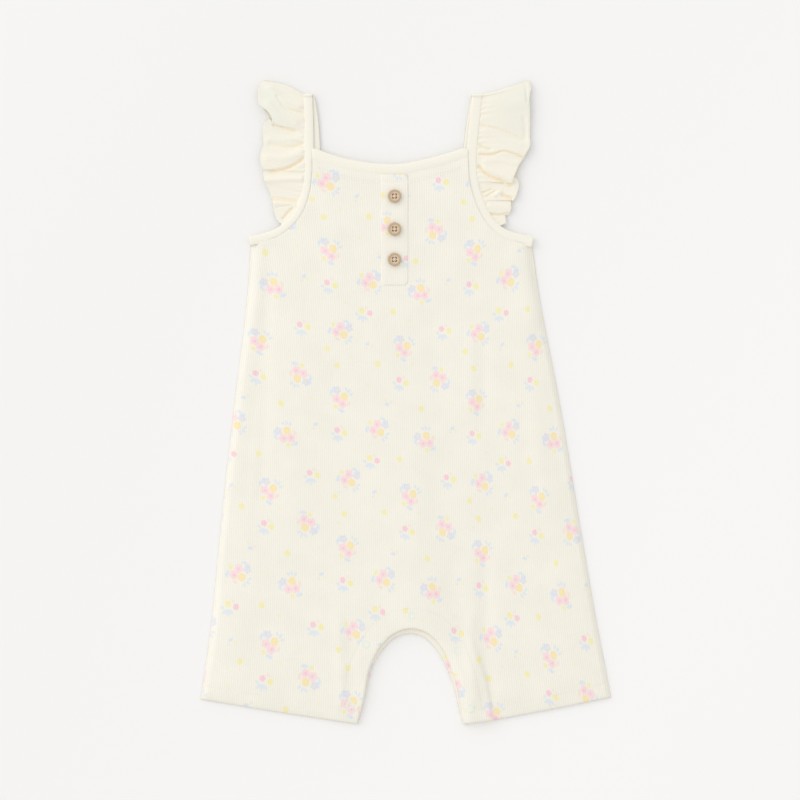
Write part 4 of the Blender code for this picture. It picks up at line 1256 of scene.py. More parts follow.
def sloped(height, low, distance, reach):
    """The height near an edge that falls off gently to low."""
    share = np.clip(distance / reach, 0.0, 1.0)
    return low + (height - low) * (1 - (1 - share) ** 2)


def rib_profile(across, pitch):
    """0 in the furrow between two ribs and 1 on a rib."""
    return 1 - (2 * np.abs((across / pitch) % 1.0 - 0.5)) ** RIB_FULLNESS


def stitched_in(distance, at):
    """How far a line of stitching at this distance from an edge draws the cloth in."""
    return STITCH_DEPTH * np.exp(-(((distance - at) / STITCH_WIDTH) ** 2))


def edge_distances(edges, x, y):
    """How far each point lies from the panel's edges, by kind."""
    return EdgeDistances(
        side=distance_to_any((edges.left_side, edges.right_side), EDGE_POINTS, x, y),
        hem=distance_to_any((edges.left_hem, edges.right_hem), EDGE_POINTS, x, y),
        inseam=distance_to(resample(edges.inseam, INSEAM_POINTS), x, y),
        neck=distance_to(resample(edges.neck, EDGE_POINTS), x, y),
    )


def front_surface(x, y):
    """The front's outside without its ribs: its height, and the distances from its edges."""
    bare = front_edges()
    away = edge_distances(bare, x, y)
    height = front_underside(bare, x, y) + CLOTH
    loose = np.clip(np.minimum(away.side, away.hem) / CREASE_FADE, 0.0, 1.0)
    creased = CREASE_SHARE_AT_EDGE + (1 - CREASE_SHARE_AT_EDGE) * loose
    height += crease_height(FRONT_CREASES, x, y) * creased
    height += SEAM_RIDGE * np.exp(-(((away.side - SEAM_RIDGE_INSIDE) / SEAM_RIDGE_WIDTH) ** 2))
    past_step = away.inseam - FACING_WIDTH - FACING_STEP_OUTSIDE
    step = 1 / (1 + np.exp(past_step / (FACING_STEP_WIDTH / 4)))
    on_right = np.clip((x - FACING_STEP_FROM) / FACING_STEP_RUN, 0.0, 1.0)
    on_leg = np.interp(y, FACING_STEP_RISES, [1.0, FACING_STEP_AT_ARCH])
    inside = np.clip(away.inseam / FACING_STEP_INSIDE, 0.0, 1.0)
    height += FACING_STEP * on_right * on_leg * step * inside
    height -= stitched_in(away.hem, HEM_STITCH)
    height -= stitched_in(away.inseam, FACING_WIDTH) * INSEAM_STITCH_SHARE
    height -= stitched_in(away.neck, NECK_STITCH)
    on_chest = np.clip((y - CHEST_SLOPE_FROM) / CHEST_SLOPE_RUN, 0.0, 1.0)
    side_slope = np.where(x < 0, LEFT_SLOPE, RIGHT_SLOPE) + CHEST_SLOPE * on_chest
    height = sloped(height, SIDE_SEAM_HEIGHT, away.side, side_slope)
    inseam_height = np.interp(y, INSEAM_RISES, [LEG_INSEAM_HEIGHT, INSEAM_HEIGHT])
    height = rolled(height, inseam_height, away.inseam, INSEAM_ROLL)
    height = rolled(height, HEM_HEIGHT, away.hem, np.where(x < 0, HEM_ROLL_LEFT, HEM_ROLL_RIGHT))
    return height, away


def front_height(x, y):
    return front_surface(x, y)[0]


def side_strip(line, outward):
    """The rim of the front along a side seam, rounding down to the floor."""
    line = resample(line, STRIP_POINTS)
    rows = []
    for inward in SIDE_STRIP:
        place = offset_path(line, outward * inward)
        lift = -STRIP_SINK if inward == SIDE_STRIP[0] else STRIP_LIFT
        height = front_height(place[:, 0], place[:, 1]) + lift
        rows.append(np.concatenate([place, height[:, None]], axis=1))
    foot = rows[-1].copy()
    foot[:, 2] = SIDE_FOOT
    return np.stack(rows + [foot])[:: int(outward)]


def build_front():
    cloth = bpy.context.scene.romper_cloth
    pitch = cloth.rib_pitch / MM
    edges = front_edges(TUCK)
    x, y, across = wale_grid(edges, pitch / SAMPLES_PER_RIB, FRONT_ROWS)
    height, away = front_surface(x, y)
    seams = np.minimum(away.hem, away.inseam) / RIB_FADE_AT_HEM
    seams = np.clip(np.minimum(away.side / RIB_FADE_AT_SIDE, seams), 0.0, 1.0)
    below_neck = np.clip((away.neck - NECK_STITCH) / NECK_RIB_RUN + 0.5, 0.0, 1.0)
    strength = seams * (RIB_SHARE_AT_NECK + (1 - RIB_SHARE_AT_NECK) * below_neck)
    height = height - cloth.rib_depth / MM * (1 - rib_profile(across, pitch)) * strength
    points = np.stack([x, y, height], axis=-1)
    under = points[0].copy()
    under[:, 2] -= HEM_CLOTH
    tucked = under.copy()
    tucked[:, :2] += left_normals(under[:, :2]) * HEM_TURN
    points = np.concatenate([tucked[None], under[None], points])
    grids = [points, side_strip(edges.left_side, -1.0), side_strip(edges.right_side, 1.0)]
    starts = np.cumsum([0] + [grid[..., 0].size for grid in grids])
    faces = [grid_faces(*grid.shape[:2], start=start) for grid, start in zip(grids, starts)]
    points = np.concatenate([grid.reshape(-1, 3) for grid in grids])
    x, y = points[:, 0], points[:, 1]
    inseam = distance_to(resample(edges.inseam, INSEAM_POINTS), x, y)
    hem = distance_to_any((edges.left_hem, edges.right_hem), EDGE_POINTS, x, y)
    # painted shade along the hem and inseam edges
    edge_shade = np.exp(-((np.minimum(inseam, hem) / EDGE_SHADE_WIDTH) ** 2))
    # the side rims always get at least this much painted shade
    edge_shade[starts[1] :] = np.maximum(edge_shade[starts[1] :], RIM_SHADE)
    values = knit_values(rib_across(x, y), across_wales(x, y), along_wales(x, y), edge_shade)
    made = mesh_object("front_cloth", points, np.concatenate(faces), panel_material(), values)
    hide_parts("front_panel")
    return made


BACK_ROWS = 34
BACK_EDGE = 0.9
BACK_EDGE_DROP = 0.3
BACK_CLEARANCE = 0.1
BACK_RIB_FADE = 2.0
BACK_PRINT_DROP = 37.0
BACK_PRINT_SHIFT = 18.0


def build_back():
    cloth = bpy.context.scene.romper_cloth
    pitch = cloth.rib_pitch / MM
    x, y, across = wale_grid(back_edges(-BACK_CLEARANCE), pitch / SAMPLES_PER_RIB, BACK_ROWS)
    away = edge_distances(back_edges(), x, y)
    edge = np.minimum(np.minimum(away.side, away.hem), away.inseam)
    top = rolled(np.full(x.shape, CLOTH), CLOTH - BACK_EDGE_DROP, edge, BACK_EDGE)
    strength = np.clip(edge / BACK_RIB_FADE, 0.0, 1.0)
    furrow = cloth.rib_depth / MM * (1 - rib_profile(across, pitch)) * strength
    low = rolled(furrow, BACK_EDGE_DROP, edge, BACK_EDGE)
    points, faces = slab(np.stack([x, y, top], axis=-1), np.stack([x, y, low], axis=-1))
    x, y = points[:, 0], points[:, 1]
    along = along_wales(x, y) + BACK_PRINT_DROP
    values = knit_values(rib_across(x, y), across_wales(x, y) + BACK_PRINT_SHIFT, along, 0.0)
    made = mesh_object("back_cloth", points, faces, panel_material(), values)
    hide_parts("back_panel")
    return made


FACING_STEPS = 260
FACING_COLUMNS = 24
FACING_CROWDING = 1.6  # its columns lie closer together towards the inseam
FACING_EDGE_HEIGHT = 1.25
FACING_ROLL = 2.2
FACING_STITCH = 1.8
FACING_STITCH_SHARE = 0.6
FACING_THINNEST = 0.05
FACING_PRINT = Point(31.0, 22.0)


def build_facing():
    edge = resample(smooth_path(BACK_INSEAM, DENSE), FACING_STEPS)
    across = np.linspace(0.0, 1.0, FACING_COLUMNS) ** FACING_CROWDING * FACING_WIDTH
    places = edge[:, None, :] + left_normals(edge)[:, None, :] * across[None, :, None]
    distance = np.minimum(across, FACING_WIDTH - across)[None, :] + np.zeros((FACING_STEPS, 1))
    high = np.full(distance.shape, SIDE_REST + FACING_CLOTH)
    top = rolled(high, FACING_EDGE_HEIGHT, distance, FACING_ROLL)
    top = top - stitched_in(distance, FACING_STITCH) * FACING_STITCH_SHARE
    bottom = np.minimum(SIDE_REST, top - FACING_THINNEST)
    upper = np.concatenate([places, top[..., None]], axis=-1)
    lower = np.concatenate([places, bottom[..., None]], axis=-1)
    points, faces = slab(upper[:, ::-1], lower[:, ::-1])
    x, y = points[:, 0], points[:, 1]
    # painted shade along the facing's edge
    edge_shade = np.exp(-((distance_to(edge, x, y) / EDGE_SHADE_WIDTH) ** 2))
    cloth_across = across_wales(x + FACING_PRINT.x, y)
    values = knit_values(cloth_across, cloth_across, along_wales(x, y + FACING_PRINT.y), edge_shade)
    made = mesh_object("crotch_facing_cloth", points, faces, panel_material(), values)
    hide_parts("back_crotch_facing")
    return made


PLACKET_PRINT = Point(-14.7, 135.4)  # where a bouquet falls on the placket
BOUQUET_ON_PLACKET = Point(13.7, 26.8)  # and that bouquet's place in the cloth it was cut from
PLACKET_PRINT_EASE = 1.1
PLACKET_COLUMNS = 56
PLACKET_ROWS = 150
PLACKET_CROWDING = 1.15  # its rows lie closer together towards the bottom
PLACKET_ROLL = 2.2
PLACKET_RISE = 0.85
PLACKET_STITCH = 1.7
PLACKET_STITCH_SHARE = 0.7
PLACKET_RIB_DEPTH = 0.05
PLACKET_EDGE_HEIGHT = 0.04
PLACKET_UNDERSIDE = 0.02


def placket_half_width(y):
    """Half the placket's width at each height, drawn in round its lower corners."""
    below = np.clip(PLACKET_BOTTOM + PLACKET_CORNER - y, 0.0, PLACKET_CORNER)
    half = (PLACKET_RIGHT - PLACKET_LEFT) / 2
    return half - PLACKET_CORNER + np.sqrt(PLACKET_CORNER**2 - below**2)


def build_placket():
    cloth = bpy.context.scene.romper_cloth
    rise = np.linspace(0.0, 1.0, PLACKET_ROWS) ** PLACKET_CROWDING
    y = (PLACKET_BOTTOM + rise * (PLACKET_TOP + TUCK - PLACKET_BOTTOM))[:, None]
    side = np.sin(np.linspace(-0.5, 0.5, PLACKET_COLUMNS) * math.pi)[None, :]
    half = placket_half_width(y)
    x = (PLACKET_RIGHT + PLACKET_LEFT) / 2 + side * half
    y = np.broadcast_to(y, x.shape)
    rest = front_height(x, y)
    edge = np.minimum(half * (1 - np.abs(side)), y - PLACKET_BOTTOM)
    furrow = 1 - rib_profile(rib_across(x, y), cloth.rib_pitch / MM)
    height = rest + PLACKET_RISE - stitched_in(edge, PLACKET_STITCH) * PLACKET_STITCH_SHARE
    height = height - PLACKET_RIB_DEPTH * furrow
    height = rolled(height, rest + PLACKET_EDGE_HEIGHT, edge, PLACKET_ROLL)
    under = np.stack([x, y, rest + PLACKET_UNDERSIDE], axis=-1)
    points, faces = slab(np.stack([x, y, height], axis=-1), under)
    across = points[:, 0] - PLACKET_PRINT.x + BOUQUET_ON_PLACKET.x
    along = (PLACKET_PRINT.y - points[:, 1]) * PLACKET_PRINT_EASE + BOUQUET_ON_PLACKET.y
    values = knit_values(across, across, along, 0.0)
    made = mesh_object("placket_cloth", points, faces, panel_material(), values)
    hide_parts("placket")
    return made


# Bindings


BINDING_SECTION_POINTS = 29
BINDING_GRIP = 14.0  # degrees left open each side of the middle
BINDING_UNDER_SQUARENESS = 0.3  # 0 is square and 1 is round
BINDING_TOP_SQUARENESS = 1.05
BINDING_UNEVENNESS = 0.04
BINDING_WAVES = (5.3, 13.7)  # lengths of its two waves, over 2 pi
END_ROUNDING = 1.2
END_RINGS = (0.0, 0.08, 0.25, 0.55, 1.0)  # as shares of the rounding
END_SMALLEST = 0.02
BINDING_SPACING = 1.2
NECK_POINTS = 100
NECK_BINDING_TUCK = 1.6
BACK_STRAP_SWING = 0.38
BACK_STRAP_LIFT = 0.1
FRONT_STRAP_DROP = 0.95
STRAP_THICKNESS = 2.0
STRAP_FOLD_STEPS = 12


def strap_route(row, front_line, spacing):
    """(points, outward directions) up the front, over the shoulder and down the back."""
    count = int(length_of(front_line) / spacing)
    front = resample(front_line, count)
    back = resample(back_line(row, front_line, BACK_STRAP_SWING), count)
    share = np.linspace(0.0, 1.0, count)
    lift = BACK_STRAP_LIFT * np.sin(math.pi * share) ** 0.5
    outward_front = left_normals(front) * row.outward
    outward_back = left_normals(back) * row.outward
    outward_front[-1] = (-row.outward, 0.0)
    outward_back[-1] = (-row.outward, 0.0)
    shoulder = front[-1]
    middle = (FRONT_BINDING_MID + BACK_BINDING_MID) / 2
    middle_height = FRONT_BINDING_MID - FRONT_STRAP_DROP * share**0.5
    points = [(x, y, z) for (x, y), z in zip(front, middle_height)]
    for step in range(1, STRAP_FOLD_STEPS):
        angle = math.pi * (0.5 - step / STRAP_FOLD_STEPS)
        reach = STRAP_FOLD_RADIUS * math.cos(angle)
        rise = STRAP_FOLD_RADIUS * math.sin(angle)
        points.append((shoulder[0], shoulder[1] + reach, middle + rise))
    points += [(x, y, BACK_BINDING_MID + up) for (x, y), up in zip(back[::-1], lift[::-1])]
    folded = np.tile(outward_front[-1], (STRAP_FOLD_STEPS - 1, 1))
    return np.array(points), np.concatenate([outward_front, folded, outward_back[::-1]])


def binding_section(width, thickness):
    """The line of a folded binding's section, open where it grips the panel, as (across, up)."""
    opening = math.radians(BINDING_GRIP)
    angles = np.linspace(-math.pi + opening, math.pi - opening, BINDING_SECTION_POINTS)
    cosine = np.cos(angles)
    sine = np.sin(angles)
    squareness = np.where(sine < 0, BINDING_UNDER_SQUARENESS, BINDING_TOP_SQUARENESS)
    across = np.sign(cosine) * np.abs(cosine) ** squareness * width / 2
    return np.stack([across, sine * thickness / 2], axis=1)


def with_end_rings(points, across):
    """The line with extra points close to its ends, where the binding rounds off."""
    reached = distances_along(points)
    whole = reached[-1]
    inner = reached[(reached > END_ROUNDING) & (reached < whole - END_ROUNDING)]
    ends = END_ROUNDING * np.array(END_RINGS)
    stations = np.concatenate([ends, inner, whole - ends[::-1]])
    inward = np.minimum(stations, whole - stations) / END_ROUNDING
    size = np.sqrt(1 - (1 - np.clip(inward, END_SMALLEST, 1.0)) ** 2)
    return values_at(stations, reached, points), values_at(stations, reached, across), stations, size


def binding_mesh(points, across, width, thickness):
    """(points, faces, cloth places) of a binding carried along its line."""
    points, across, along, size = with_end_rings(points, across)
    run = np.gradient(points, along, axis=0)
    sides = np.concatenate([across, np.zeros((len(across), 1))], axis=1)
    up = np.cross(run, sides)
    up /= np.linalg.norm(up, axis=1)[:, None]
    section = binding_section(width, thickness)
    short, long = BINDING_WAVES
    swell = (1 + BINDING_UNEVENNESS * np.sin(along / short) * np.sin(along / long + 1.0)) * size
    grid = (
        points[:, None, :]
        + sides[:, None, :] * section[None, :, :1] * ((1 + size) / 2)[:, None, None]
        + up[:, None, :] * section[None, :, 1:] * swell[:, None, None]
    )
    rows, columns, _ = grid.shape
    around, lengthwise = np.meshgrid(distances_along(section), along)
    cloth = np.stack([around, lengthwise, np.zeros((rows, columns))], axis=-1)
    return grid.reshape(-1, 3), grid_faces(rows, columns), cloth.reshape(-1, 3)


def build_neck_bindings():
    for name, edges, middle in (
        ("front", front_edges(), FRONT_BINDING_MID),
        ("back", back_edges(), BACK_BINDING_MID),
    ):
        inner = resample(edges.neck, NECK_POINTS)
        slope = np.gradient(inner[:, 1]) / np.gradient(inner[:, 0])
        widths = np.sqrt(1 + slope**2)
        rise = GAP + NECK_BINDING_WIDTH / 2 * widths
        centre = inner + np.stack([np.zeros(len(inner)), rise], axis=1)
        centre[0] += (centre[0] - centre[1]) * NECK_BINDING_TUCK
        centre[-1] += (centre[-1] - centre[-2]) * NECK_BINDING_TUCK
        points = np.concatenate([centre, np.full((len(centre), 1), middle)], axis=1)
        across = np.stack([np.zeros(len(widths)), widths], axis=1)
        points, faces, cloth = binding_mesh(points, across, NECK_BINDING_WIDTH, BINDING_THICKNESS)
        made = mesh_object(
            f"neck_binding_{name}_cloth", points, faces, binding_material(), {"cloth": cloth}
        )
        turned_outward(made)
        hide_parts(f"neck_binding_{name}")


def build_straps():
    lines = front_lines()
    for row in ARMHOLES:
        points, outward = strap_route(row, lines[row.side], BINDING_SPACING)
        points, faces, cloth = binding_mesh(points, outward, row.width, STRAP_THICKNESS)
        name = f"armhole_binding_{row.side}"
        made = mesh_object(f"{name}_cloth", points, faces, binding_material(), {"cloth": cloth})
        turned_outward(made)
        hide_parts(name)


# Ruffles


RUFFLE_STEPS = 700
RUFFLE_ACROSS = 46
RUFFLE_SHEET = 0.5
RUFFLE_EDGE_RADIUS = 0.34
SEAM_SPACING = 1.0
SEAM_INSIDE = 0.6  # from the binding's outer edge
FRONT_STARTS = 0.05  # share of the seam over which the shoulder turns into the front
GATHER_HEIGHT = 0.5
GATHER_REACH = 0.16
GATHER_START = 0.04
GATHER_SHIFTS = ((1.7, 19.0), (0.9, 43.0))  # how far the gathers wander, and how often
GATHER_UNEVENNESS = 0.3
GATHER_BEAT = (31.0, 0.6)  # how often the gathers swell, and from where
WAVE_RISE = 0.42
WAVE_HEIGHT = 0.38
LOWEST_FRONT_RUFFLE = 1.9
LOW_WAVE = 2.2  # waves up to here keep their height
CREASE_START = 0.06
CREASE_SHADE_DEPTH = 1.3  # a crease this deep gets the full painted crease shade
TOP_SHADE_FROM = 186.0  # the outer cloth above here gets a painted cool grey shade
TOP_SHADE_RUN = 40.0
TOP_SHADE_SHARE = 1.6
TOP_SHADE_OUTWARD = 0.2


def ruffle_seam(row, front_line):
    """The lines where a ruffle is sewn on: up the front, and down the back."""
    route, outward = strap_route(row, front_line, SEAM_SPACING)
    seam = route.copy()
    seam[:, :2] += outward * (row.width / 2 - SEAM_INSIDE)
    from_end = np.hypot(route[:, 0] - row.ruffle_end.x, route[:, 1] - row.ruffle_end.y)
    half = len(route) // 2
    first = int(np.argmin(from_end[:half]))
    last = half + int(np.argmin(from_end[half:]))
    return seam[first : half + 1], seam[half : last + 1]


def ruffle_grid(row, front_line, gathers):
    """Points of a ruffle, from its seam out to its edge, and their places on the cloth."""
    front_seam, back_seam = ruffle_seam(row, front_line)
    edge = smooth_path(row.ruffle, RUFFLE_STEPS)
    along = edge[:, 0]
    root = np.where(
        (along <= 1)[:, None],
        point_along(front_seam, np.clip(along, 0, 1)),
        point_along(back_seam, np.clip(along - 1, 0, 1)),
    )
    share = np.linspace(0.0, 1.0, RUFFLE_ACROSS)
    grid = root[:, None, :] + (edge[:, None, 1:] - root[:, None, :]) * share[None, :, None]
    crown = row.ruffle_crown * np.sin(math.pi * share)[None, :]
    grid[..., 1] += crown * np.exp(-(((along - 1) / RUFFLE_CROWN_REACH) ** 2))[:, None]
    on_front = np.clip((1.0 - along) / FRONT_STARTS, 0.0, 1.0)[:, None]
    lowered = LOWEST_FRONT_RUFFLE + (edge[:, 3] - LOWEST_FRONT_RUFFLE) * WAVE_HEIGHT
    lowered = np.maximum(lowered, np.minimum(edge[:, 3], LOW_WAVE))
    swelled = np.where(along < 1, lowered, edge[:, 3])
    rise = share[None, :] ** (RUFFLE_RISE + (WAVE_RISE - RUFFLE_RISE) * on_front)
    height = root[:, None, 2] + (swelled[:, None] - root[:, None, 2]) * rise
    creased = crease_height(RUFFLE_CREASES[row.side], grid[..., 0], grid[..., 1])
    creased *= on_front * np.clip(share / CREASE_START, 0.0, 1.0)[None, :]
    height = np.where(on_front > 0, np.maximum(height + creased, LOWEST_FRONT_RUFFLE), height)
    phase = gathers * along * math.tau
    for shift, often in GATHER_SHIFTS:
        phase = phase + shift * np.sin(along * often)
    fade = np.exp(-share / GATHER_REACH) * np.minimum(1.0, share / GATHER_START)
    often, start = GATHER_BEAT
    uneven = 1 - GATHER_UNEVENNESS + GATHER_UNEVENNESS * np.sin(along * often + start)
    height += GATHER_HEIGHT * (np.sin(phase) * uneven)[:, None] * fade[None, :]
    grid[..., 2] = height
    width = np.linalg.norm(grid[:, -1] - grid[:, 0], axis=1)
    # painted cool shade on the front's outer cloth high up
    high_up = np.clip((grid[..., 1] - TOP_SHADE_FROM) / TOP_SHADE_RUN, 0.0, 1.0)
    top_shade = high_up * on_front * np.clip(TOP_SHADE_SHARE * share - TOP_SHADE_OUTWARD, 0.0, 1.0)[None, :]
    cloth = np.stack(
        [
            np.broadcast_to(distances_along(grid[:, -1])[:, None], grid.shape[:2]),
            width[:, None] * share[None, :],
            # painted warm shade in the creases, less the painted cool shade high up
            np.clip(-creased / CREASE_SHADE_DEPTH, 0.0, 1.0) - top_shade,
        ],
        axis=-1,
    )
    return grid, cloth


def build_ruffles():
    trim = bpy.context.scene.romper_trim
    lines = front_lines()
    for row in ARMHOLES:
        grid, cloth = ruffle_grid(row, lines[row.side], trim.gathers)
        name = f"ruffle_{row.side}"
        points = grid.reshape(-1, 3)
        values = {"cloth": cloth.reshape(-1, 3)}
        faces = grid_faces(*grid.shape[:2])
        made = mesh_object(f"{name}_cloth", points, faces, ruffle_material(), values)
        turned_outward(made)
        sheet = made.modifiers.new("sheet", "SOLIDIFY")
        sheet.thickness = RUFFLE_SHEET * MM
        sheet.offset = 0.0
        points, faces = tube_along(grid[:, -1], RUFFLE_EDGE_RADIUS, THREAD_SIDES)
        values = {"cloth": points * [1, 1, 0]}
        rolled_edge = mesh_object(f"{name}_rolled_edge", points, faces, ruffle_material(), values)
        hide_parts(name)


# Buttons and snaps


BUTTON_SIDES = 96
BUTTON_RINGS = 64
BUTTON_FIRST_RING = 0.02
BUTTON_FACE = [  # (radius, height): a dish with a rounded rim
    (0.0, 1.55), (2.9, 1.62), (3.4, 1.95), (3.9, 2.2), (4.35, 2.18), (4.75, 1.95), (5.0, 1.35),
]
BUTTON_SIDE = [(1.0, 0.75), (0.94, 0.2), (0.8, 0.0)]  # (share of the radius, height)
BUTTON_RIM_FROM = 3.1
BUTTON_RIM_RUN = 0.4
BUTTON_RIM_TINT = 0.5
BUTTON_HOLE_RADIUS = 0.74
BUTTON_HOLE_SLOPE = 0.16
BUTTON_HOLE_DEPTH = 1.2
BUTTON_THREAD_RADIUS = 0.22
BUTTON_THREAD_POINTS = 11
BUTTON_THREAD_LIFTS = (0.22, 0.34)  # the second thread crosses over the first
BUTTON_THREAD_DIVE = 0.75
BUTTON_THREAD_OVERLAP = 0.15


def button_height(radius):
    return np.interp(radius, *zip(*BUTTON_FACE))


def button_holes():
    half = BUTTON_HOLE_SPACING / 2
    return [(x, y) for x in (-half, half) for y in (-half, half)]


def button_mesh(place, base):
    """(points, faces, how dark each point is, from the rim's darker wood and the holes' painted shade) of a
    dished button with four holes.
    """
    side_reach, side_height = zip(*BUTTON_SIDE)
    reach = np.concatenate([np.linspace(BUTTON_FIRST_RING, 1.0, BUTTON_RINGS), side_reach])
    angles = np.linspace(0.0, math.tau, BUTTON_SIDES, endpoint=False)
    x = BUTTON_RADIUS * reach[:, None] * np.cos(angles)[None, :]
    y = BUTTON_RADIUS * reach[:, None] * np.sin(angles)[None, :]
    nearest = np.min([np.hypot(x - hx, y - hy) for hx, hy in button_holes()], axis=0)
    sunk = BUTTON_HOLE_RADIUS + BUTTON_HOLE_SLOPE / 2 - nearest
    sunk = np.clip(sunk / BUTTON_HOLE_SLOPE, 0.0, 1.0)
    up = button_height(BUTTON_RADIUS * reach)[:, None] - BUTTON_HOLE_DEPTH * sunk
    up[-len(side_height) :] = np.array(side_height)[:, None]
    faces = grid_faces(*x.shape, closed=True).tolist()
    faces.append(list(range(BUTTON_SIDES))[::-1])
    rim = np.clip((np.hypot(x, y) - BUTTON_RIM_FROM) / BUTTON_RIM_RUN, 0.0, 1.0)
    dark = np.stack([x, y, np.maximum(rim * BUTTON_RIM_TINT, sunk)], axis=-1)
    points = np.stack([x + place.x, y + place.y, up + base], axis=-1)
    return points.reshape(-1, 3), faces, dark.reshape(-1, 3)


def build_buttons():
    for name, place in BUTTONS.items():
        node_name = f"button_{name}"
        low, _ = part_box(node_name)
        base = low.z / MM
        points, faces, dark = button_mesh(place, base)
        made = mesh_object(f"{node_name}_wood", points, faces, wood_material(), {"cloth": dark})
        turned_outward(made)
        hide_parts(node_name)
        face = base + button_height(0.0)
        half = BUTTON_HOLE_SPACING / 2 + BUTTON_THREAD_OVERLAP
        share = np.linspace(-1.0, 1.0, BUTTON_THREAD_POINTS)
        for number, (toward, lift) in enumerate(zip((-1, 1), BUTTON_THREAD_LIFTS)):
            arch = lift - BUTTON_THREAD_DIVE * np.abs(share) ** 4
            across = place.x + toward * half * share
            path = np.stack([across, place.y + half * share, face + arch], axis=1)
            points, faces = tube_along(path, BUTTON_THREAD_RADIUS, THREAD_SIDES)
            thread = f"{node_name}_thread_{number}"
            mesh_object(thread, points, faces, thread_material(), {"cloth": points})


SNAP_RADIUS = 2.5
SNAP_RIM = 1.1
SNAP_RISE = 0.05
SNAP_SUNK = 0.12
SNAP_SIDES = 72
SNAP_RINGS = 9


def build_snaps():
    """The sockets under the front, which press faint rings through the cloth."""
    angles = np.linspace(0.0, math.tau, SNAP_SIDES, endpoint=False)
    across_rim = np.linspace(-1.0, 1.0, SNAP_RINGS)[:, None]
    radius = SNAP_RADIUS + SNAP_RIM * across_rim
    bulge = np.cos(across_rim * math.pi / 2)
    for name, place in SNAPS.items():
        node_name = f"snap_{name}"
        x = place.x + radius * np.cos(angles)[None, :]
        y = place.y + radius * np.sin(angles)[None, :]
        height = front_height(x, y) - SNAP_SUNK + (SNAP_SUNK + SNAP_RISE) * bulge
        points = np.stack([x, y, height], axis=-1).reshape(-1, 3)
        faces = grid_faces(SNAP_RINGS, SNAP_SIDES, closed=True)
        made = mesh_object(f"{node_name}_ring", points, faces, snap_material(), {"cloth": points})
        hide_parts(node_name)


# Stitching


STITCH_LENGTH = 2.1
STITCH_GAP = 0.75
STITCH_RADIUS = 0.13
STITCH_LIFT = 0.10
STITCH_ARCH = (-0.16, 0.02, 0.08, 0.02, -0.16)
NECK_STITCH_SPREAD = 0.9
# The stretch of each seam's line that is stitched
NECK_STITCHED = slice(6, -6)
LEFT_HEM_STITCHED = slice(10, -30)
RIGHT_HEM_STITCHED = slice(30, -10)
INSEAM_STITCHED = slice(14, -14)


def stitches_along(path):
    """(points, faces) of a row of machine stitches laid on the front."""
    whole = length_of(path)
    pitch = STITCH_LENGTH + STITCH_GAP
    points = []
    faces = []
    for number in range(int(whole / pitch)):
        share = (number * pitch + np.linspace(0.0, STITCH_LENGTH, len(STITCH_ARCH))) / whole
        place = point_along(path, share)
        height = front_height(place[:, 0], place[:, 1]) + STITCH_LIFT + np.array(STITCH_ARCH)
        line = np.concatenate([place, height[:, None]], axis=1)
        tube_points, tube_faces = tube_along(line, STITCH_RADIUS, STITCH_SIDES)
        start = len(points) * len(tube_points)
        points.append(tube_points)
        faces += [[corner + start for corner in face] for face in tube_faces]
    return np.concatenate(points), faces


def stitch_rows():
    """Each named row of stitching on the front, as a line."""
    bare = front_edges()
    neck = bare.neck[NECK_STITCHED] - [0.0, NECK_STITCH]
    return {
        "neck_upper": neck + [0.0, NECK_STITCH_SPREAD],
        "neck_lower": neck - [0.0, NECK_STITCH_SPREAD],
        "hem_left": offset_path(bare.left_hem, HEM_STITCH)[LEFT_HEM_STITCHED],
        "hem_right": offset_path(bare.right_hem, HEM_STITCH)[RIGHT_HEM_STITCHED],
        "facing": offset_path(bare.inseam, FACING_WIDTH)[INSEAM_STITCHED],
    }


def build_stitching():
    for name, path in stitch_rows().items():
        points, faces = stitches_along(resample(path, DENSE))
        mesh_object(f"stitches_{name}", points, faces, thread_material(), {"cloth": points})


# Stage


# The floor is a little lighter away from the lamp, so that it looks even
FLOOR_AWAY_X = 0.10
FLOOR_AWAY_Y = -0.06
FLOOR_MOST = 0.03
FLOOR_HALF = 4.0
FLOOR_DROP = 0.0002
LAMP_PLACE = (-1.75, 1.15, 1.35)
LAMP_SIZE = 1.9
GLOW_FROM = (-0.76, 0.54, 0.36)
DARKEST_SKY = 0.02
SENSOR_WIDTH = 36.0
CLIP_END = 20.0
PICTURE_CENTRE = Point(-4.56, 1.9)  # table place that the middle of the view falls on


def studio_sky(settings):
    """An even white surround that is brighter towards the upper left."""
    world = bpy.data.worlds.new("studio")
    world.use_nodes = True
    tree = world.node_tree
    background = tree.nodes["Background"]
    facing = node(tree, "ShaderNodeTexCoord").outputs["Generated"]
    toward = vector_math(tree, "DOT_PRODUCT", facing, GLOW_FROM)
    glow = calculate(tree, "MULTIPLY_ADD", toward, settings.glow_strength, settings.fill_strength)
    background.inputs["Color"].default_value = (1.0, 1.0, 1.0, 1.0)
    feed(tree, background.inputs["Strength"], calculate(tree, "MAXIMUM", glow, DARKEST_SKY))
    return world


def floor_material(settings):
    made, tree, shader = new_material("studio_floor")
    parts = split(tree, node(tree, "ShaderNodeTexCoord").outputs["Object"])
    away = calculate(tree, "MULTIPLY_ADD", parts["Y"], FLOOR_AWAY_Y, 0.0)
    away = calculate(tree, "MULTIPLY_ADD", parts["X"], FLOOR_AWAY_X, away)
    away = calculate(tree, "MINIMUM", calculate(tree, "MAXIMUM", away, -FLOOR_MOST), FLOOR_MOST)
    value = calculate(tree, "ADD", away, 1.0)
    colour = [calculate(tree, "MULTIPLY", value, part) for part in settings.floor_colour]
    feed(tree, shader.inputs["Base Color"], joined(tree, *colour))
    set_inputs(shader, {"Roughness": 1.0, "Specular IOR Level": 0.0})
    return made


def put_in_scene(name, data, place):
    """The scene's new object with this data."""
    made = bpy.data.objects.new(name, data)
    made.location = place
    bpy.context.scene.collection.objects.link(made)
    return made


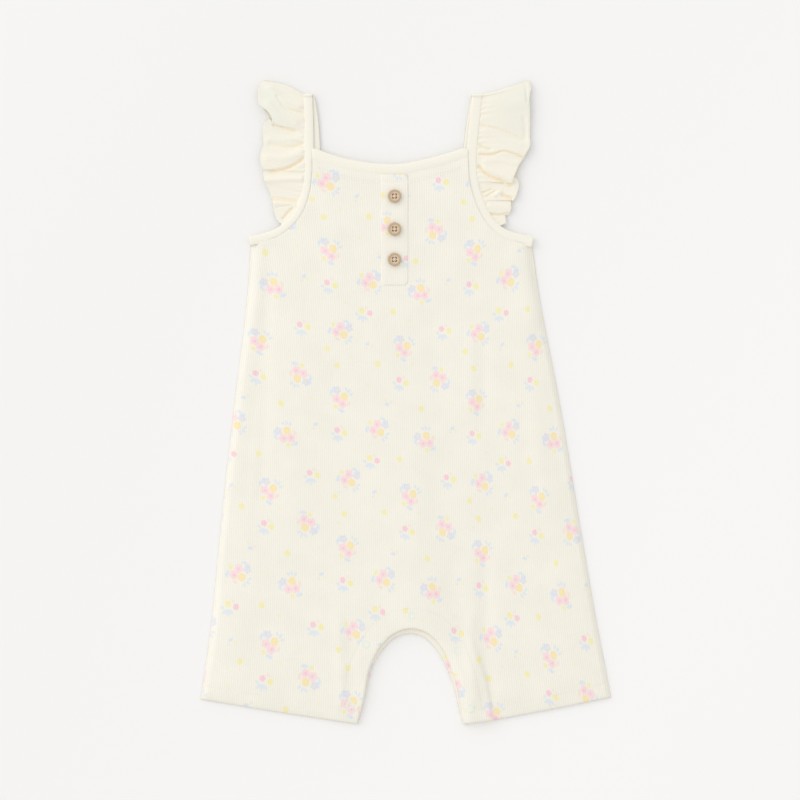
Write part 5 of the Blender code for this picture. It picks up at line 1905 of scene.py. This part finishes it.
def build_stage():
    scene = bpy.context.scene
    settings = scene.romper_stage
    scene.view_settings.view_transform = "Standard"
    scene.world = studio_sky(settings)

    mesh = bpy.data.meshes.new("floor")
    corners = [(-1, -1), (1, -1), (1, 1), (-1, 1)]
    mesh.from_pydata([(x * FLOOR_HALF, y * FLOOR_HALF, 0.0) for x, y in corners], [], [(0, 1, 2, 3)])
    mesh.materials.append(floor_material(settings))
    put_in_scene("floor", mesh, (0.0, 0.0, -FLOOR_DROP))

    light = bpy.data.lights.new("key", "AREA")
    light.shape = "DISK"
    light.size = LAMP_SIZE
    light.energy = settings.key_power
    key = put_in_scene("key", light, LAMP_PLACE)
    key.rotation_euler = (-Vector(LAMP_PLACE)).to_track_quat("-Z", "Y").to_euler()

    camera = bpy.data.cameras.new("camera")
    camera.lens = settings.lens
    camera.sensor_width = SENSOR_WIDTH
    camera.clip_end = CLIP_END
    x = (PICTURE_CENTRE.x + SHIFT[0]) * MM
    y = (PICTURE_CENTRE.y + SHIFT[1]) * MM
    scene.camera = put_in_scene("camera", camera, (x, y, settings.camera_height))


# Operators


class ROMPER_OT_panels(bpy.types.Operator):
    """Build the front and back panels and the crotch facing."""

    bl_idname = "romper.panels"
    bl_label = "Panels"

    def execute(self, context):
        build_back()
        build_facing()
        build_front()
        return {"FINISHED"}


class ROMPER_OT_placket(bpy.types.Operator):
    """Build the button placket."""

    bl_idname = "romper.placket"
    bl_label = "Placket"

    def execute(self, context):
        build_placket()
        return {"FINISHED"}


class ROMPER_OT_bindings(bpy.types.Operator):
    """Build the neck bindings and the armhole bindings with their straps."""

    bl_idname = "romper.bindings"
    bl_label = "Bindings"

    def execute(self, context):
        build_neck_bindings()
        build_straps()
        return {"FINISHED"}


class ROMPER_OT_ruffles(bpy.types.Operator):
    """Build the gathered ruffles."""

    bl_idname = "romper.ruffles"
    bl_label = "Ruffles"

    def execute(self, context):
        build_ruffles()
        return {"FINISHED"}


class ROMPER_OT_buttons(bpy.types.Operator):
    """Build the three sewn buttons."""

    bl_idname = "romper.buttons"
    bl_label = "Buttons"

    def execute(self, context):
        build_buttons()
        return {"FINISHED"}


class ROMPER_OT_snaps(bpy.types.Operator):
    """Build the rings of the crotch snaps."""

    bl_idname = "romper.snaps"
    bl_label = "Snaps"

    def execute(self, context):
        build_snaps()
        return {"FINISHED"}


class ROMPER_OT_stitching(bpy.types.Operator):
    """Build the rows of stitching on the front."""

    bl_idname = "romper.stitching"
    bl_label = "Stitching"

    def execute(self, context):
        build_stitching()
        return {"FINISHED"}


class ROMPER_OT_stage(bpy.types.Operator):
    """Build the floor, the light and the camera."""

    bl_idname = "romper.stage"
    bl_label = "Studio"

    def execute(self, context):
        build_stage()
        return {"FINISHED"}


OPERATORS = (
    ROMPER_OT_stage,
    ROMPER_OT_panels,
    ROMPER_OT_placket,
    ROMPER_OT_bindings,
    ROMPER_OT_ruffles,
    ROMPER_OT_buttons,
    ROMPER_OT_snaps,
    ROMPER_OT_stitching,
)
SETTINGS = {
    "romper_cloth": RomperCloth,
    "romper_print": RomperPrint,
    "romper_trim": RomperTrim,
    "romper_stage": RomperStage,
}


class ROMPER_PT_sidebar(bpy.types.Panel):
    """The romper's pieces and settings."""

    bl_idname = "ROMPER_PT_sidebar"
    bl_label = "Baby romper"
    bl_space_type = "VIEW_3D"
    bl_region_type = "UI"
    bl_category = "Romper"

    def draw(self, context):
        for operator in OPERATORS:
            self.layout.operator(operator.bl_idname)
        for name, group in SETTINGS.items():
            box = self.layout.box()
            box.label(text=group.__doc__)
            for key in group.__annotations__:
                box.prop(getattr(context.scene, name), key)


def register():
    for group in SETTINGS.values():
        bpy.utils.register_class(group)
    for name, group in SETTINGS.items():
        setattr(bpy.types.Scene, name, PointerProperty(type=group))
    for operator in OPERATORS:
        bpy.utils.register_class(operator)
    bpy.utils.register_class(ROMPER_PT_sidebar)


def unregister():
    bpy.utils.unregister_class(ROMPER_PT_sidebar)
    for operator in reversed(OPERATORS):
        bpy.utils.unregister_class(operator)
    for name in SETTINGS:
        delattr(bpy.types.Scene, name)
    for group in reversed(list(SETTINGS.values())):
        bpy.utils.unregister_class(group)


def main():
    register()
    for operator in OPERATORS:
        area, call = operator.bl_idname.split(".")
        getattr(getattr(bpy.ops, area), call)()


if __name__ == "__main__":
    main()
